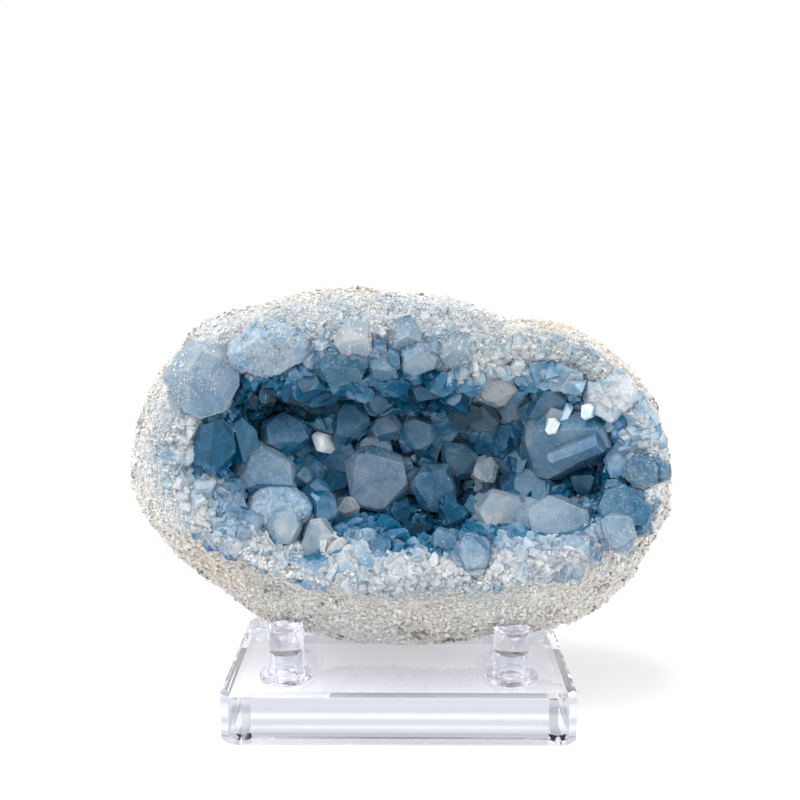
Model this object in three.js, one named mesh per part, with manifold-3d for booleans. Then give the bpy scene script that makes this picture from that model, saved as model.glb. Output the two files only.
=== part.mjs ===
// A celestite geode on a clear four-peg display stand. Millimetres, +Z up, the open side of the
// nodule faces -Y. The nodule is one rock, its hollow is lined with one crust of grown-together
// crystals, and the rock rests loosely on four pegs that stand in a bevelled slab with four pads.
import * as THREE from "three";
import { ConvexGeometry } from "three/addons/geometries/ConvexGeometry.js";
import { mergeVertices } from "three/addons/utils/BufferGeometryUtils.js";
import Module from "manifold-3d";

// ---------------------------------------------------------------- driving dimensions
const GAP = 0.3; // between pieces that touch

const PAD = { radius: 4, height: 1.5, fromSide: 7, fromFront: 7, sides: 12 };
const SLAB = { width: 127, depth: 76, height: 20, bevel: 1.3, corner: 2.6 };
const PEG = { radius: 6.5, height: 19.5, x: 41, y: 24, sides: 16, tipRound: 0.5 };
const FLANGE = { radius: 9.7, height: 2.4, round: 0.8 };
const CORNERS = [
  ["front_left", -1, -1],
  ["front_right", 1, -1],
  ["rear_left", -1, 1],
  ["rear_right", 1, 1],
];
const SLAB_TOP = PAD.height + SLAB.height;
const PEG_TOP = SLAB_TOP + PEG.height;

// The nodule: radii round the front-to-back axis, anticlockwise from +X as seen from the front.
const NODULE = { x: 0.5, z: 96, rear: 44, widest: -2, widestTilt: 6 };
const OUTLINE = [
  97.5, 93, 83, 67.5, 65, 63.5, 69, 75, 89, 94.5, 97.5, 92, 81, 76, 69.5, 67, 69.5, 78.5, 92, 97,
];
const LIP = [90, 84, 66, 62.5, 69, 84.5, 87, 56, 43, 39.5, 45.5, 63.5];
const MOUTH = [83.5, 73, 43, 42.5, 46, 66.5, 69, 50.5, 30, 25, 27.5, 46.5];
const FACE = { depth: -28, lean: 0.25, crest: 7, mouth: 3 }; // the broken face leans back
const HOLLOW = { floor: 11, shoulder: -18, foot: -2 };
const SEAT = { flat: 8, slope: 0.9 }; // where the underside is kept clear of a peg's tip

// Waves that give the nodule its broad lumps: direction over wavelength, phase, height.
const LUMPS = [
  [0.11, 0.05, 0.09, 0.4, 0.8],
  [-0.07, 0.13, 0.06, 2.1, 0.7],
  [0.16, -0.1, 0.14, 4.4, 0.5],
  [0.05, 0.19, -0.17, 1.3, 0.45],
  [-0.23, 0.08, 0.2, 5.2, 0.35],
];

const ROCK_GRID = { around: 48, outer: 14, face: 7, hollow: 6 };
const LINING = { thick: 3.6, rough: 2.6, into: 2, around: 22, rings: 6 };
const ROOM = { front: -90, radius: 130 }; // a drum in front of the rock that holds every crystal
const HABIT = { sideTurn: 0.28, sideLoss: 0.12, capTurn: 0.4, capTilt: 0.75, capSpread: 0.35, lean: 0.12 };
const BLOCK = { sides: 6, caps: 3 };
const SMALL_CRYSTALS = { count: 26, least: 3.5, most: 7, sides: 4, caps: 2, stand: 0.9, lean: 0.8 };

// The crystals that show as single blocks. Each row: name, tip (the middle of the front end),
// half width and half height across the axis, length, then the axis as yaw (to the right) and
// pitch (up) from straight out of the hollow, roll about it, and how much of the end is flat.
const CRYSTALS = [
  ["left_overhang", [-43.5, -28, 139.5], [14.5, 9], 8, 20, -30, 8, 0.74],
  ["left_pale_block", [-64, -32, 130.5], [12, 14], 10, 30, -5, 20, 0.68],
  ["left_steel_block", [-61, -32.5, 109], [6.5, 10.5], 12, 42, 5, -8, 0.6],
  ["left_teal_post", [-54, -21.5, 108.5], [5, 11], 12, 35, 0, 5, 0.64],
  ["left_pocket_block", [-48.5, -9, 121.5], [4, 4], 8, 20, -10, 30, 0.6],
  ["left_arch", [-41.5, -13.5, 111.5], [9.5, 7], 20, 10, 30, 0, 0.68],
  ["left_large_blue", [-48, -22, 99.5], [12, 9], 22, 12, 20, -20, 0.64],
  ["bright_facet", [-30, -7, 106], [2.3, 4], 20, -18, 15, 22, 0.6],
  ["centre_octagon", [-8.5, -6, 91.5], [12, 13.5], 20, 3, 5, 12, 0.74],
  ["centre_right_block", [13.5, -7.5, 88], [8.5, 9.5], 20, 6, 6, 25, 0.68],
  ["centre_back_slab", [22.5, 0.5, 97.5], [7, 9], 14, -6, 12, -12, 0.64],
  ["small_pebble", [32, -8, 95.5], [5, 4.5], 20, -6, 18, 40, 0.74],
  ["lower_pale_octagon", [37, -16, 82.5], [10.5, 7.5], 13, -8, 24, 8, 0.74],
  ["right_great_block", [56.5, -20, 105.5], [19, 13], 16, -24, -14, 27, 0.58],
  ["right_great_shoulder", [57, -20, 116], [9, 6], 18, -18, 15, 10, 0.52],
  ["right_long_prism", [54.5, -19.5, 101.5], [3.2, 3.6], 20, -121, -26, 12, 0.6],
  ["right_glint_inner", [54, -22, 114.5], [2.3, 3.3], 6, -20, 10, -14, 0.6],
  ["right_glint_outer", [59, -21, 118.5], [1.3, 4.2], 6, -14, -4, -24, 0.6],
  ["right_bright_corner", [64.5, -28.5, 120.5], [2, 2.8], 6, -30, 0, -8, 0.6],
  ["right_plate_inner", [43, -9, 119], [4.5, 9], 10, 5, -30, -14, 0.68],
  ["right_plate_outer", [52.5, -17.5, 120], [6, 10], 9, -6, -30, -28, 0.68],
  ["right_white_lump", [72, -28.5, 126], [9.5, 8], 6, -25, 0, 15, 0.68],
  ["top_hanging_block", [-19.5, -28.5, 133], [9, 6.5], 12, 0, -38, 8, 0.64],
  ["top_pale_block", [-15, -30.5, 141.5], [6.5, 7], 10, 0, -30, 20, 0.68],
  ["top_wedge", [-6, -29, 133.5], [5.5, 6], 11, 0, -35, 5, 0.46],
  ["top_rhomb", [3, -27.5, 143.5], [5, 5], 10, 0, -30, 42, 0.74],
  ["top_pale_shelf", [7, -29, 137], [7.5, 5], 11, 3, -30, -5, 0.68],
  ["top_grey_block", [19.5, -28.5, 139], [6, 5], 10, 0, -30, 15, 0.68],
  ["inner_dark_wedge", [9, -21, 125.5], [7, 5], 9, 6, -24, 0, 0.46],
  ["inner_brown_block", [24.5, -4.5, 115.5], [7, 7.5], 12, -6, -24, 12, 0.6],
  ["inner_green_block", [31, -4, 113], [6, 7], 12, -8, -20, -10, 0.6],
  ["upper_cream_block", [34, -20.5, 126.5], [7.5, 6.5], 8, 0, -30, 20, 0.64],
  ["inner_left_block", [-18.5, -4, 114], [7.5, 7.5], 16, 0, 10, 15, 0.6],
  ["inner_middle_block", [-5, -2.5, 111.5], [6.5, 5], 16, 0, 18, -20, 0.6],
  ["inner_right_block", [7.5, -2, 108.5], [7, 7], 16, 6, 12, 30, 0.6],
  ["inner_upper_block", [-7, -5.5, 119.5], [5.5, 4.5], 11, 0, -10, 10, 0.6],
  ["lower_left_frosted", [-42.5, -25, 86], [12.5, 9], 17, 6, 24, -10, 0.74],
  ["lower_left_glassy", [-40, -29.5, 80], [6, 6.5], 13, 12, 18, 25, 0.68],
  ["lower_left_long", [-29, -28.5, 74.5], [4.5, 9.5], 13, 14, 12, -24, 0.68],
  ["lower_left_facet", [-26.5, -22.5, 84.5], [5, 8], 14, 18, 12, 10, 0.52],
  ["lower_shard", [-19.5, -10.5, 82], [5, 4], 16, 0, 20, -25, 0.46],
  ["lower_blue_wedge", [19.5, -14.5, 80.5], [5.5, 6], 14, -5, 15, 20, 0.46],
  ["lower_dark_block", [1, -12.5, 80], [4.5, 4.5], 13, 0, 15, 35, 0.6],
  ["lower_dark_wedge", [7, -24.5, 78], [6, 4], 12, 5, 25, -5, 0.46],
  ["right_cloudy_block", [56, -28, 82.5], [13.5, 8], 11, -12, 30, 6, 0.74],
  ["right_blue_block", [75, -38.5, 90], [10, 7], 11, -30, 18, -12, 0.64],
  ["right_frosted_block", [73.5, -43, 83], [6, 6], 8, -18, 24, 20, 0.74],
  ["right_dark_block", [66, -19, 93], [6, 5], 10, -30, 0, 30, 0.6],
  ["right_edge_block", [82.5, -34.5, 101], [7, 5.5], 6, -38, 6, 0, 0.68],
  ["rim_middle_block", [16, -34, 76], [5.5, 5], 8, 0, 30, 15, 0.64],
  ["rim_white_blue", [25.5, -42, 74], [6.5, 6], 8, 0, 30, -15, 0.68],
  ["rim_left_block", [-6, -35, 74.5], [5, 4.5], 8, 0, 30, 20, 0.64],
  ["rim_corner_block", [-23.5, -28.5, 73], [6, 5], 10, 8, 28, 0, 0.64],
];

// ---------------------------------------------------------------- curves and numbers
const TURN = 2 * Math.PI;
const GOLDEN = (Math.sqrt(5) - 1) / 2;

/** A repeatable number from 0 to 1 for each whole number. */
function chance(n) {
  const wave = Math.sin(n * 127.1 + 11.7) * 43758.5453;
  return wave - Math.floor(wave);
}

/** Catmull-Rom blend of four values. */
function blend(a, b, c, d, f) {
  const bend = 2 * a - 5 * b + 4 * c - d;
  const twist = 3 * b - a - 3 * c + d;
  return 0.5 * (2 * b + (c - a) * f + bend * f * f + twist * f * f * f);
}

/** Radius at an angle from radii spaced evenly round the turn. */
function radiusAt(radii, angle) {
  const count = radii.length;
  const place = (((angle / TURN) * count) % count + count) % count;
  const i = Math.floor(place);
  const [a, b, c, d] = [-1, 0, 1, 2].map((step) => radii[(i + step + count) % count]);
  return blend(a, b, c, d, place - i);
}

/** Point along an open curve through [radius, depth] pairs. */
function along(points, place) {
  const last = points.length - 1;
  const i = Math.min(Math.floor(place), last - 1);
  const mirror = (p, q) => [2 * p[0] - q[0], 2 * p[1] - q[1]];
  const before = i === 0 ? mirror(points[0], points[1]) : points[i - 1];
  const after = i === last - 1 ? mirror(points[last], points[last - 1]) : points[i + 2];
  return [0, 1].map((k) => blend(before[k], points[i][k], points[i + 1][k], after[k], place - i));
}

/** How far the broad lumps move a point out, more behind than in front. */
function lump({ x, y, z }) {
  const behind = THREE.MathUtils.clamp(0.3 + (y + 5) / 40, 0.3, 1.3);
  const waves = LUMPS.map(([a, b, c, phase, height]) => height * Math.sin(a * x + b * y + c * z + phase));
  return behind * waves.reduce((sum, wave) => sum + wave, 0);
}

// ---------------------------------------------------------------- the nodule's surface
/** Depth of the leaning plane of the broken face at a height. */
const faceDepth = (z) => FACE.depth + FACE.lean * (z - NODULE.z);

/** Profile of the nodule at one angle: rear, widest, lip, crest, mouth, hollow wall and floor. */
function profileAt(angle) {
  const up = Math.sin(angle);
  const outer = radiusAt(OUTLINE, angle);
  const lip = Math.min(radiusAt(LIP, angle), 0.97 * outer);
  const mouth = radiusAt(MOUTH, angle);
  const crest = (lip + mouth) / 2;
  const widest = NODULE.widest + NODULE.widestTilt * up;
  const lipDepth = faceDepth(NODULE.z + lip * up);
  return [
    [0, NODULE.rear],
    [0.44 * outer, NODULE.rear - 4],
    [0.77 * outer, NODULE.rear - 15],
    [0.945 * outer, widest + 0.36 * (NODULE.rear - widest)],
    [outer, widest],
    [Math.min((outer + lip) / 2 + 0.06 * outer, outer), (widest + lipDepth) / 2 - 1],
    [lip, lipDepth],
    [crest, faceDepth(NODULE.z + crest * up) - FACE.crest],
    [mouth, faceDepth(NODULE.z + mouth * up) - FACE.mouth],
    [0.88 * mouth, HOLLOW.shoulder],
    [0.7 * mouth, HOLLOW.foot],
    [0.38 * mouth, HOLLOW.floor - 3],
    [0, HOLLOW.floor],
  ];
}
const LIP_PLACE = 6;
const CREST_PLACE = 7;
const MOUTH_PLACE = 8;
const LAST_PLACE = 12;

/** Point of the nodule's surface, moved out by the lumps and lifted off the pegs' tips. */
function noduleAt(angle, place) {
  const [radius, depth] = along(profileAt(angle), place);
  const point = new THREE.Vector3(
    NODULE.x + radius * Math.cos(angle),
    depth,
    NODULE.z + radius * Math.sin(angle),
  );
  const swell = 1 + lump(point) / 75;
  point.x = NODULE.x + (point.x - NODULE.x) * swell;
  point.z = NODULE.z + (point.z - NODULE.z) * swell;
  if (place < LIP_PLACE && point.z < NODULE.z) {
    point.z = Math.max(point.z, seatHeight(point.x, point.y));
  }
  return point;
}

/** Lowest the underside may be: flat above a peg's tip, then falling away from it. */
function seatHeight(x, y) {
  const away = Math.hypot(Math.abs(x) - PEG.x, Math.abs(y) - PEG.y);
  return PEG_TOP + GAP - SEAT.slope * Math.max(0, away - SEAT.flat);
}

/** Point beside the surface, moved along its normal: positive away from the rock. */
function besideNodule(angle, place, away) {
  const step = 0.01;
  const here = noduleAt(angle, place);
  const round = noduleAt(angle + step, place).sub(noduleAt(angle - step, place));
  const ahead = noduleAt(angle, Math.min(place + step, LAST_PLACE));
  const onward = ahead.sub(noduleAt(angle, Math.max(place - step, 0)));
  const normal = place > LAST_PLACE - 0.001 ? new THREE.Vector3(0, -1, 0) : round.cross(onward).normalize();
  return here.addScaledVector(normal, away);
}

// ---------------------------------------------------------------- solids from functions
const wasm = await Module();
wasm.setup();

/** A geometry as a closed solid for joining and cutting. */
function toSolid(geometry) {
  const bare = geometry.clone();
  bare.deleteAttribute("normal");
  bare.deleteAttribute("uv");
  const merged = mergeVertices(bare, 1e-4);
  const mesh = new wasm.Mesh({
    numProp: 3,
    vertProperties: new Float32Array(merged.attributes.position.array),
    triVerts: new Uint32Array(merged.index.array),
  });
  return new wasm.Manifold(mesh);
}

/** The geometry of a solid. */
function toGeometry(solid) {
  const mesh = solid.getMesh();
  const geometry = new THREE.BufferGeometry();
  geometry.setAttribute("position", new THREE.BufferAttribute(new Float32Array(mesh.vertProperties), 3));
  geometry.setIndex(new THREE.BufferAttribute(new Uint32Array(mesh.triVerts), 1));
  geometry.computeVertexNormals();
  return geometry;
}

/** Closed skin through rings of points, from a first pole to a last pole. */
function skin(firstPole, rings, lastPole, flip) {
  const around = rings[0].length;
  const points = [firstPole, ...rings.flat(), lastPole];
  const last = points.length - 1;
  const faces = [];
  const add = (a, b, c) => faces.push(...(flip ? [a, c, b] : [a, b, c]));
  for (let i = 0; i < around; i++) {
    const next = (i + 1) % around;
    add(0, 1 + next, 1 + i);
    for (let ring = 0; ring < rings.length - 1; ring++) {
      const here = 1 + ring * around;
      const there = here + around;
      add(here + i, here + next, there + next);
      add(here + i, there + next, there + i);
    }
    const edge = 1 + (rings.length - 1) * around;
    add(edge + i, edge + next, last);
  }
  const geometry = new THREE.BufferGeometry().setFromPoints(points);
  geometry.setIndex(faces);
  return geometry;
}

const ANGLES = Array.from({ length: ROCK_GRID.around }, (_, i) => (TURN * i) / ROCK_GRID.around);

/** Evenly spread places from one to another, the first left out. */
function places(from, to, count) {
  return Array.from({ length: count }, (_, i) => from + ((to - from) * (i + 1)) / count);
}
const OUTER_PLACES = places(0, LIP_PLACE, ROCK_GRID.outer);
const FACE_PLACES = places(LIP_PLACE, MOUTH_PLACE, ROCK_GRID.face);
const HOLLOW_PLACES = places(MOUTH_PLACE, LAST_PLACE, ROCK_GRID.hollow).slice(0, -1);

/** The nodule, one closed rock with its hollow and a flat worn by each peg. */
function nodule() {
  const rings = [...OUTER_PLACES, ...FACE_PLACES, ...HOLLOW_PLACES].map((place) =>
    ANGLES.map((angle) => noduleAt(angle, place)),
  );
  const whole = toSolid(skin(noduleAt(0, 0), rings, noduleAt(0, LAST_PLACE), false));
  const seats = CORNERS.map(([, x, y]) => {
    const cutter = new THREE.CylinderGeometry(PEG.radius + 1, PEG.radius + 1, PEG_TOP + GAP, PEG.sides);
    cutter.rotateX(Math.PI / 2);
    return toSolid(cutter.translate(x * PEG.x, y * PEG.y, (PEG_TOP + GAP) / 2));
  });
  return toGeometry(seats.reduce((rock, seat) => rock.subtract(seat), whole));
}

/** All the room in front of the rock and inside its hollow, a gap's width off the surface. */
function roomInFront() {
  const { front, radius } = ROOM;
  const far = (angle, depth) =>
    new THREE.Vector3(NODULE.x + radius * Math.cos(angle), depth, NODULE.z + radius * Math.sin(angle));
  const rings = [
    ANGLES.map((angle) => far(angle, front)),
    ANGLES.map((angle) => far(angle, besideNodule(angle, FACE_PLACES[0], 2 * GAP).y)),
    ...[...FACE_PLACES, ...HOLLOW_PLACES].map((place) =>
      ANGLES.map((angle) => besideNodule(angle, place, GAP)),
    ),
  ];
  const frontPole = new THREE.Vector3(NODULE.x, front, NODULE.z);
  return skin(frontPole, rings, besideNodule(0, LAST_PLACE, GAP), true);
}

/** The rough layer that the crystals stand on, from the crest of the rim to the floor. */
function lining() {
  const { thick, rough, into, around, rings } = LINING;
  const edge = CREST_PLACE + 0.2;
  const inside = [edge, ...places(edge, LAST_PLACE, rings).slice(0, -1)];
  const angles = Array.from({ length: around }, (_, i) => (TURN * i) / around);
  const thickness = (place, i) => {
    const grown = Math.min(1, 0.2 + (place - edge) / 1.4);
    return grown * (thick + rough * (chance(i * 31 + Math.round(place * 97)) - 0.5));
  };
  const ring = (place, height) => angles.map((angle, i) => besideNodule(angle, place, height(place, i)));
  const rear = inside.map((place) => ring(place, () => -into)).reverse();
  const front = inside.map((place) => ring(place, thickness));
  const poles = [-into, thick].map((height) => besideNodule(0, LAST_PLACE, height));
  return skin(poles[0], [...rear, ...front], poles[1], false);
}

// ---------------------------------------------------------------- crystals
/**
 * Flat sides of a block crystal as [normal, distance], its front end at the origin, axis +Z.
 * Each seed gives a crystal of its own: its sides stand a little uneven, as grown ones do.
 */
function crystalFaces(half, length, flat, seed, { sides, caps }) {
  const faces = [];
  const reach = (angle) => Math.hypot(half[0] * Math.cos(angle), half[1] * Math.sin(angle));
  for (let i = 0; i < sides; i++) {
    const angle = (TURN * (i + HABIT.sideTurn * (chance(seed + i) - 0.5))) / sides;
    const distance = reach(angle) * (1 - HABIT.sideLoss * chance(seed + 20 + i));
    faces.push([new THREE.Vector3(Math.cos(angle), Math.sin(angle), 0), distance]);
  }
  for (let i = 0; i < caps; i++) {
    const angle = (TURN * (i + 0.5 + HABIT.capTurn * (chance(seed + 40 + i) - 0.5))) / caps;
    const tilt = HABIT.capTilt + HABIT.capSpread * chance(seed + 60 + i);
    const normal = new THREE.Vector3(
      Math.sin(tilt) * Math.cos(angle),
      Math.sin(tilt) * Math.sin(angle),
      Math.cos(tilt),
    );
    faces.push([normal, Math.sin(tilt) * flat * reach(angle)]);
  }
  const lean = HABIT.lean * (chance(seed + 80) - 0.5);
  faces.push([new THREE.Vector3(lean, lean, 1).normalize(), 0]);
  faces.push([new THREE.Vector3(0, 0, -1), length]);
  return faces;
}

/** Corners of the convex block that the faces enclose. */
function corners(faces) {
  const found = [];
  const matrix = new THREE.Matrix3();
  for (let i = 0; i < faces.length; i++) {
    for (let j = i + 1; j < faces.length; j++) {
      for (let k = j + 1; k < faces.length; k++) {
        const [a, b, c] = [faces[i], faces[j], faces[k]];
        matrix.set(...a[0].toArray(), ...b[0].toArray(), ...c[0].toArray());
        if (Math.abs(matrix.determinant()) < 1e-4) continue;
        const point = new THREE.Vector3(a[1], b[1], c[1]).applyMatrix3(matrix.clone().invert());
        const within = faces.every(([normal, distance]) => normal.dot(point) < distance + 1e-6);
        if (within && !found.some((other) => other.distanceTo(point) < 1e-3)) found.push(point);
      }
    }
  }
  return found;
}

/** A crystal as a solid: its tip, the direction of its axis and its faces. */
function crystalSolid(tip, axis, roll, faces) {
  const side = new THREE.Vector3(0, 0, 1).cross(axis).normalize();
  const up = axis.clone().cross(side);
  const turn = new THREE.Matrix4().makeBasis(side, up, axis);
  turn.multiply(new THREE.Matrix4().makeRotationZ(roll));
  const points = corners(faces).map((point) => point.applyMatrix4(turn).add(tip));
  return toSolid(new ConvexGeometry(points));
}

/** The crystals that are placed one by one. */
function namedCrystals() {
  return CRYSTALS.map(([, tip, half, length, yaw, pitch, roll, flat], i) => {
    const [right, up] = [yaw, pitch].map(THREE.MathUtils.degToRad);
    const axis = new THREE.Vector3(
      Math.sin(right) * Math.cos(up),
      -Math.cos(right) * Math.cos(up),
      Math.sin(up),
    );
    const faces = crystalFaces(half, length, flat, 100 * i, BLOCK);
    return crystalSolid(new THREE.Vector3(...tip), axis, THREE.MathUtils.degToRad(roll), faces);
  });
}

/** Smaller crystals that fill the wall between them. */
function wallCrystals() {
  const { least, most, stand, lean } = SMALL_CRYSTALS;
  return Array.from({ length: SMALL_CRYSTALS.count }, (_, i) => {
    const seed = 9000 + 100 * i;
    const angle = (TURN * (i * GOLDEN)) % TURN;
    const place = MOUTH_PLACE - 0.3 + 3.2 * chance(seed);
    const size = THREE.MathUtils.lerp(least, most, chance(seed + 1));
    const root = besideNodule(angle, place, 0);
    const tip = besideNodule(angle, place, LINING.thick + stand * size);
    const axis = tip.clone().sub(root).normalize();
    const aside = new THREE.Vector3(chance(seed + 2) - 0.5, -0.3, chance(seed + 3) - 0.5);
    axis.addScaledVector(aside, lean);
    const faces = crystalFaces([size, size * 0.8], 2.2 * size + 3, 0.6, seed, SMALL_CRYSTALS);
    return crystalSolid(tip, axis.normalize(), TURN * chance(seed + 4), faces);
  });
}

/** Lining and crystals joined, and kept a gap's width off the rock. */
function crust() {
  const room = toSolid(roomInFront());
  const crystals = [...namedCrystals(), ...wallCrystals()];
  const joined = crystals.reduce((whole, crystal) => whole.add(crystal), toSolid(lining()));
  const pieces = joined.intersect(room).decompose();
  return toGeometry(pieces.sort((a, b) => b.volume() - a.volume())[0]);
}

// ---------------------------------------------------------------- the stand
/** Outline of a rectangle with its corners cut off. */
function cutCornerRectangle(width, depth, corner) {
  const [x, y] = [width / 2, depth / 2];
  return new THREE.Shape(
    [
      [x - corner, -y],
      [x, corner - y],
      [x, y - corner],
      [x - corner, y],
      [corner - x, y],
      [-x, y - corner],
      [-x, corner - y],
      [corner - x, -y],
    ].map(([a, b]) => new THREE.Vector2(a, b)),
  );
}

/** The slab: a thick plate with bevelled edges top and bottom. */
function slab() {
  const { width, depth, height, bevel, corner } = SLAB;
  const inner = cutCornerRectangle(width - 2 * bevel, depth - 2 * bevel, corner);
  const geometry = new THREE.ExtrudeGeometry(inner, {
    depth: height - 2 * bevel,
    bevelThickness: bevel,
    bevelSize: bevel,
    bevelSegments: 1,
    steps: 1,
  });
  return geometry.translate(0, 0, PAD.height + bevel);
}

/** A turned piece standing on Z, from [radius, height] pairs. */
function turned(profile, sides) {
  const geometry = new THREE.LatheGeometry(
    profile.map(([radius, height]) => new THREE.Vector2(radius, height)),
    sides,
  );
  return geometry.rotateX(Math.PI / 2);
}

/** A peg with a round collar at its foot. */
function peg() {
  const { radius, height, tipRound, sides } = PEG;
  return turned(
    [
      [0, GAP / 10],
      [FLANGE.radius - FLANGE.round, GAP / 10],
      [FLANGE.radius, FLANGE.round],
      [FLANGE.radius, FLANGE.height - FLANGE.round],
      [FLANGE.radius - FLANGE.round, FLANGE.height],
      [radius, FLANGE.height],
      [radius, height - tipRound],
      [radius - tipRound, height],
      [0, height],
    ],
    sides,
  );
}

/** A clear pad under a corner of the slab. */
function pad() {
  return turned(
    [
      [0, 0],
      [PAD.radius, 0],
      [PAD.radius, PAD.height - GAP / 10],
      [0, PAD.height - GAP / 10],
    ],
    PAD.sides,
  );
}

// ---------------------------------------------------------------- assembly
const LOOKS = {
  rock: { color: 0xc9c0b4, roughness: 0.9, metalness: 0 },
  celestite: { color: 0x7fa3c4, roughness: 0.35, metalness: 0 },
  acrylic: { color: 0xf2f4fa, roughness: 0.05, metalness: 0 },
};

/** A named piece with its own material. */
function piece(name, geometry, look) {
  const mesh = new THREE.Mesh(geometry, new THREE.MeshStandardMaterial(LOOKS[look]));
  mesh.name = name;
  return mesh;
}

/** The slab with its pegs and pads. */
function stand() {
  const group = new THREE.Group();
  group.add(piece("stand_base", slab(), "acrylic"));
  for (const [where, x, y] of CORNERS) {
    const post = piece(`peg_${where}`, peg(), "acrylic");
    post.position.set(x * PEG.x, y * PEG.y, SLAB_TOP);
    const foot = piece(`pad_${where}`, pad(), "acrylic");
    foot.position.set(x * (SLAB.width / 2 - PAD.fromSide), y * (SLAB.depth / 2 - PAD.fromFront), 0);
    group.add(post, foot);
  }
  return group;
}

const geode = new THREE.Group();
geode.add(piece("geode_rock", nodule(), "rock"));
geode.add(piece("crystal_crust", crust(), "celestite"));
geode.add(stand());
const middle = new THREE.Box3().setFromObject(geode).getCenter(new THREE.Vector3());
geode.position.set(-middle.x, -middle.y, 0);

export default geode;
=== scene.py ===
"""A celestite geode on a clear four-peg stand: rind, sugary rim, crystals and acrylic.

Shapes are written in millimetres in the stand's own frame (middle of the slab at x 0, y 0, the
pads' undersides at z 0, the open side of the nodule facing -Y) and put into metres at the end.
The nodule's surface has two parameters: the angle round it, and the place along its profile from
the rear pole (0) over the lip (6), the rim's crest (7) and the mouth (8) to the hollow's floor (12).
"""

import itertools
import math

import bpy
import numpy as np
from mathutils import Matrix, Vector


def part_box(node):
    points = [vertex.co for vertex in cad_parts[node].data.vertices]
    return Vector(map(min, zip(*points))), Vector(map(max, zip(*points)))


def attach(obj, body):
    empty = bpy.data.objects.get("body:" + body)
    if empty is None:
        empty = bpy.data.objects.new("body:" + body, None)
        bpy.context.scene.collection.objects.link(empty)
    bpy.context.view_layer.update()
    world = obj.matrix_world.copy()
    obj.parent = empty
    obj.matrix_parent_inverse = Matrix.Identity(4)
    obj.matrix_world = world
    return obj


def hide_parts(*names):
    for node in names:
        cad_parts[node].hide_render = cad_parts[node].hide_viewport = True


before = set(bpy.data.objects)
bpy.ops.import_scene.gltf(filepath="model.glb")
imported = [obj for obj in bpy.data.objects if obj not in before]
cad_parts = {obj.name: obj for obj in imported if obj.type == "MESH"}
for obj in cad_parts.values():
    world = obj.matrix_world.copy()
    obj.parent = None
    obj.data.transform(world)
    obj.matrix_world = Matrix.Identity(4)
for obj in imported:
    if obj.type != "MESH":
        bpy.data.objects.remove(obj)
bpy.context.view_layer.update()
TURN = 2 * math.pi

# ---------------- driving dimensions
slab_low, slab_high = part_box("stand_base")
STAND_MIDDLE = np.array([(slab_low.x + slab_high.x) / 2, (slab_low.y + slab_high.y) / 2, 0.0])
SLAB_TOP = slab_high.z * 1000
PEG = {"radius": 6.5, "height": 19.5, "x": 41.0, "y": 24.0, "bore": 4.3, "bore_top": 10.0}
FLANGE = {"radius": 9.7, "height": 2.4}
PAD = {"radius": 4.0, "top": 1.45, "x": 56.5, "y": 31.0}
PEG_TOP = SLAB_TOP + PEG["height"]

NODULE = {"x": 0.5, "z": 96.0, "rear": 44.0, "widest": -2.0, "tilt": 6.0}
OUTLINE = [97.5, 93, 83, 67.5, 65, 63.5, 69, 75, 89, 94.5]  # evenly round, from +X up over the top
OUTLINE += [97.5, 92, 81, 76, 69.5, 67, 69.5, 78.5, 92, 97]  # and back under the nodule
LIP = [90, 84, 66, 62.5, 69, 84.5, 87, 56, 43, 39.5, 45.5, 63.5]
MOUTH = [83.5, 73, 43, 42.5, 46, 66.5, 69, 50.5, 30, 25, 27.5, 46.5]
FACE = {"depth": -28.0, "lean": 0.25, "crest": 7.0, "mouth": 3.0}
HOLLOW = {"floor": 11.0, "shoulder": -18.0, "foot": -2.0}
SEAT = {"gap": 0.3, "flat": 8.0, "slope": 0.9}
# Broad waves on the nodule: how fast each turns along x, y and z, where it starts, and its height.
LUMPS = [
    (0.11, 0.05, 0.09, 0.4, 0.8),
    (-0.07, 0.13, 0.06, 2.1, 0.7),
    (0.16, -0.1, 0.14, 4.4, 0.5),
    (0.05, 0.19, -0.17, 1.3, 0.45),
    (-0.23, 0.08, 0.2, 5.2, 0.35),
]
LIP_PLACE, LAST_PLACE = 6, 12

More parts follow.
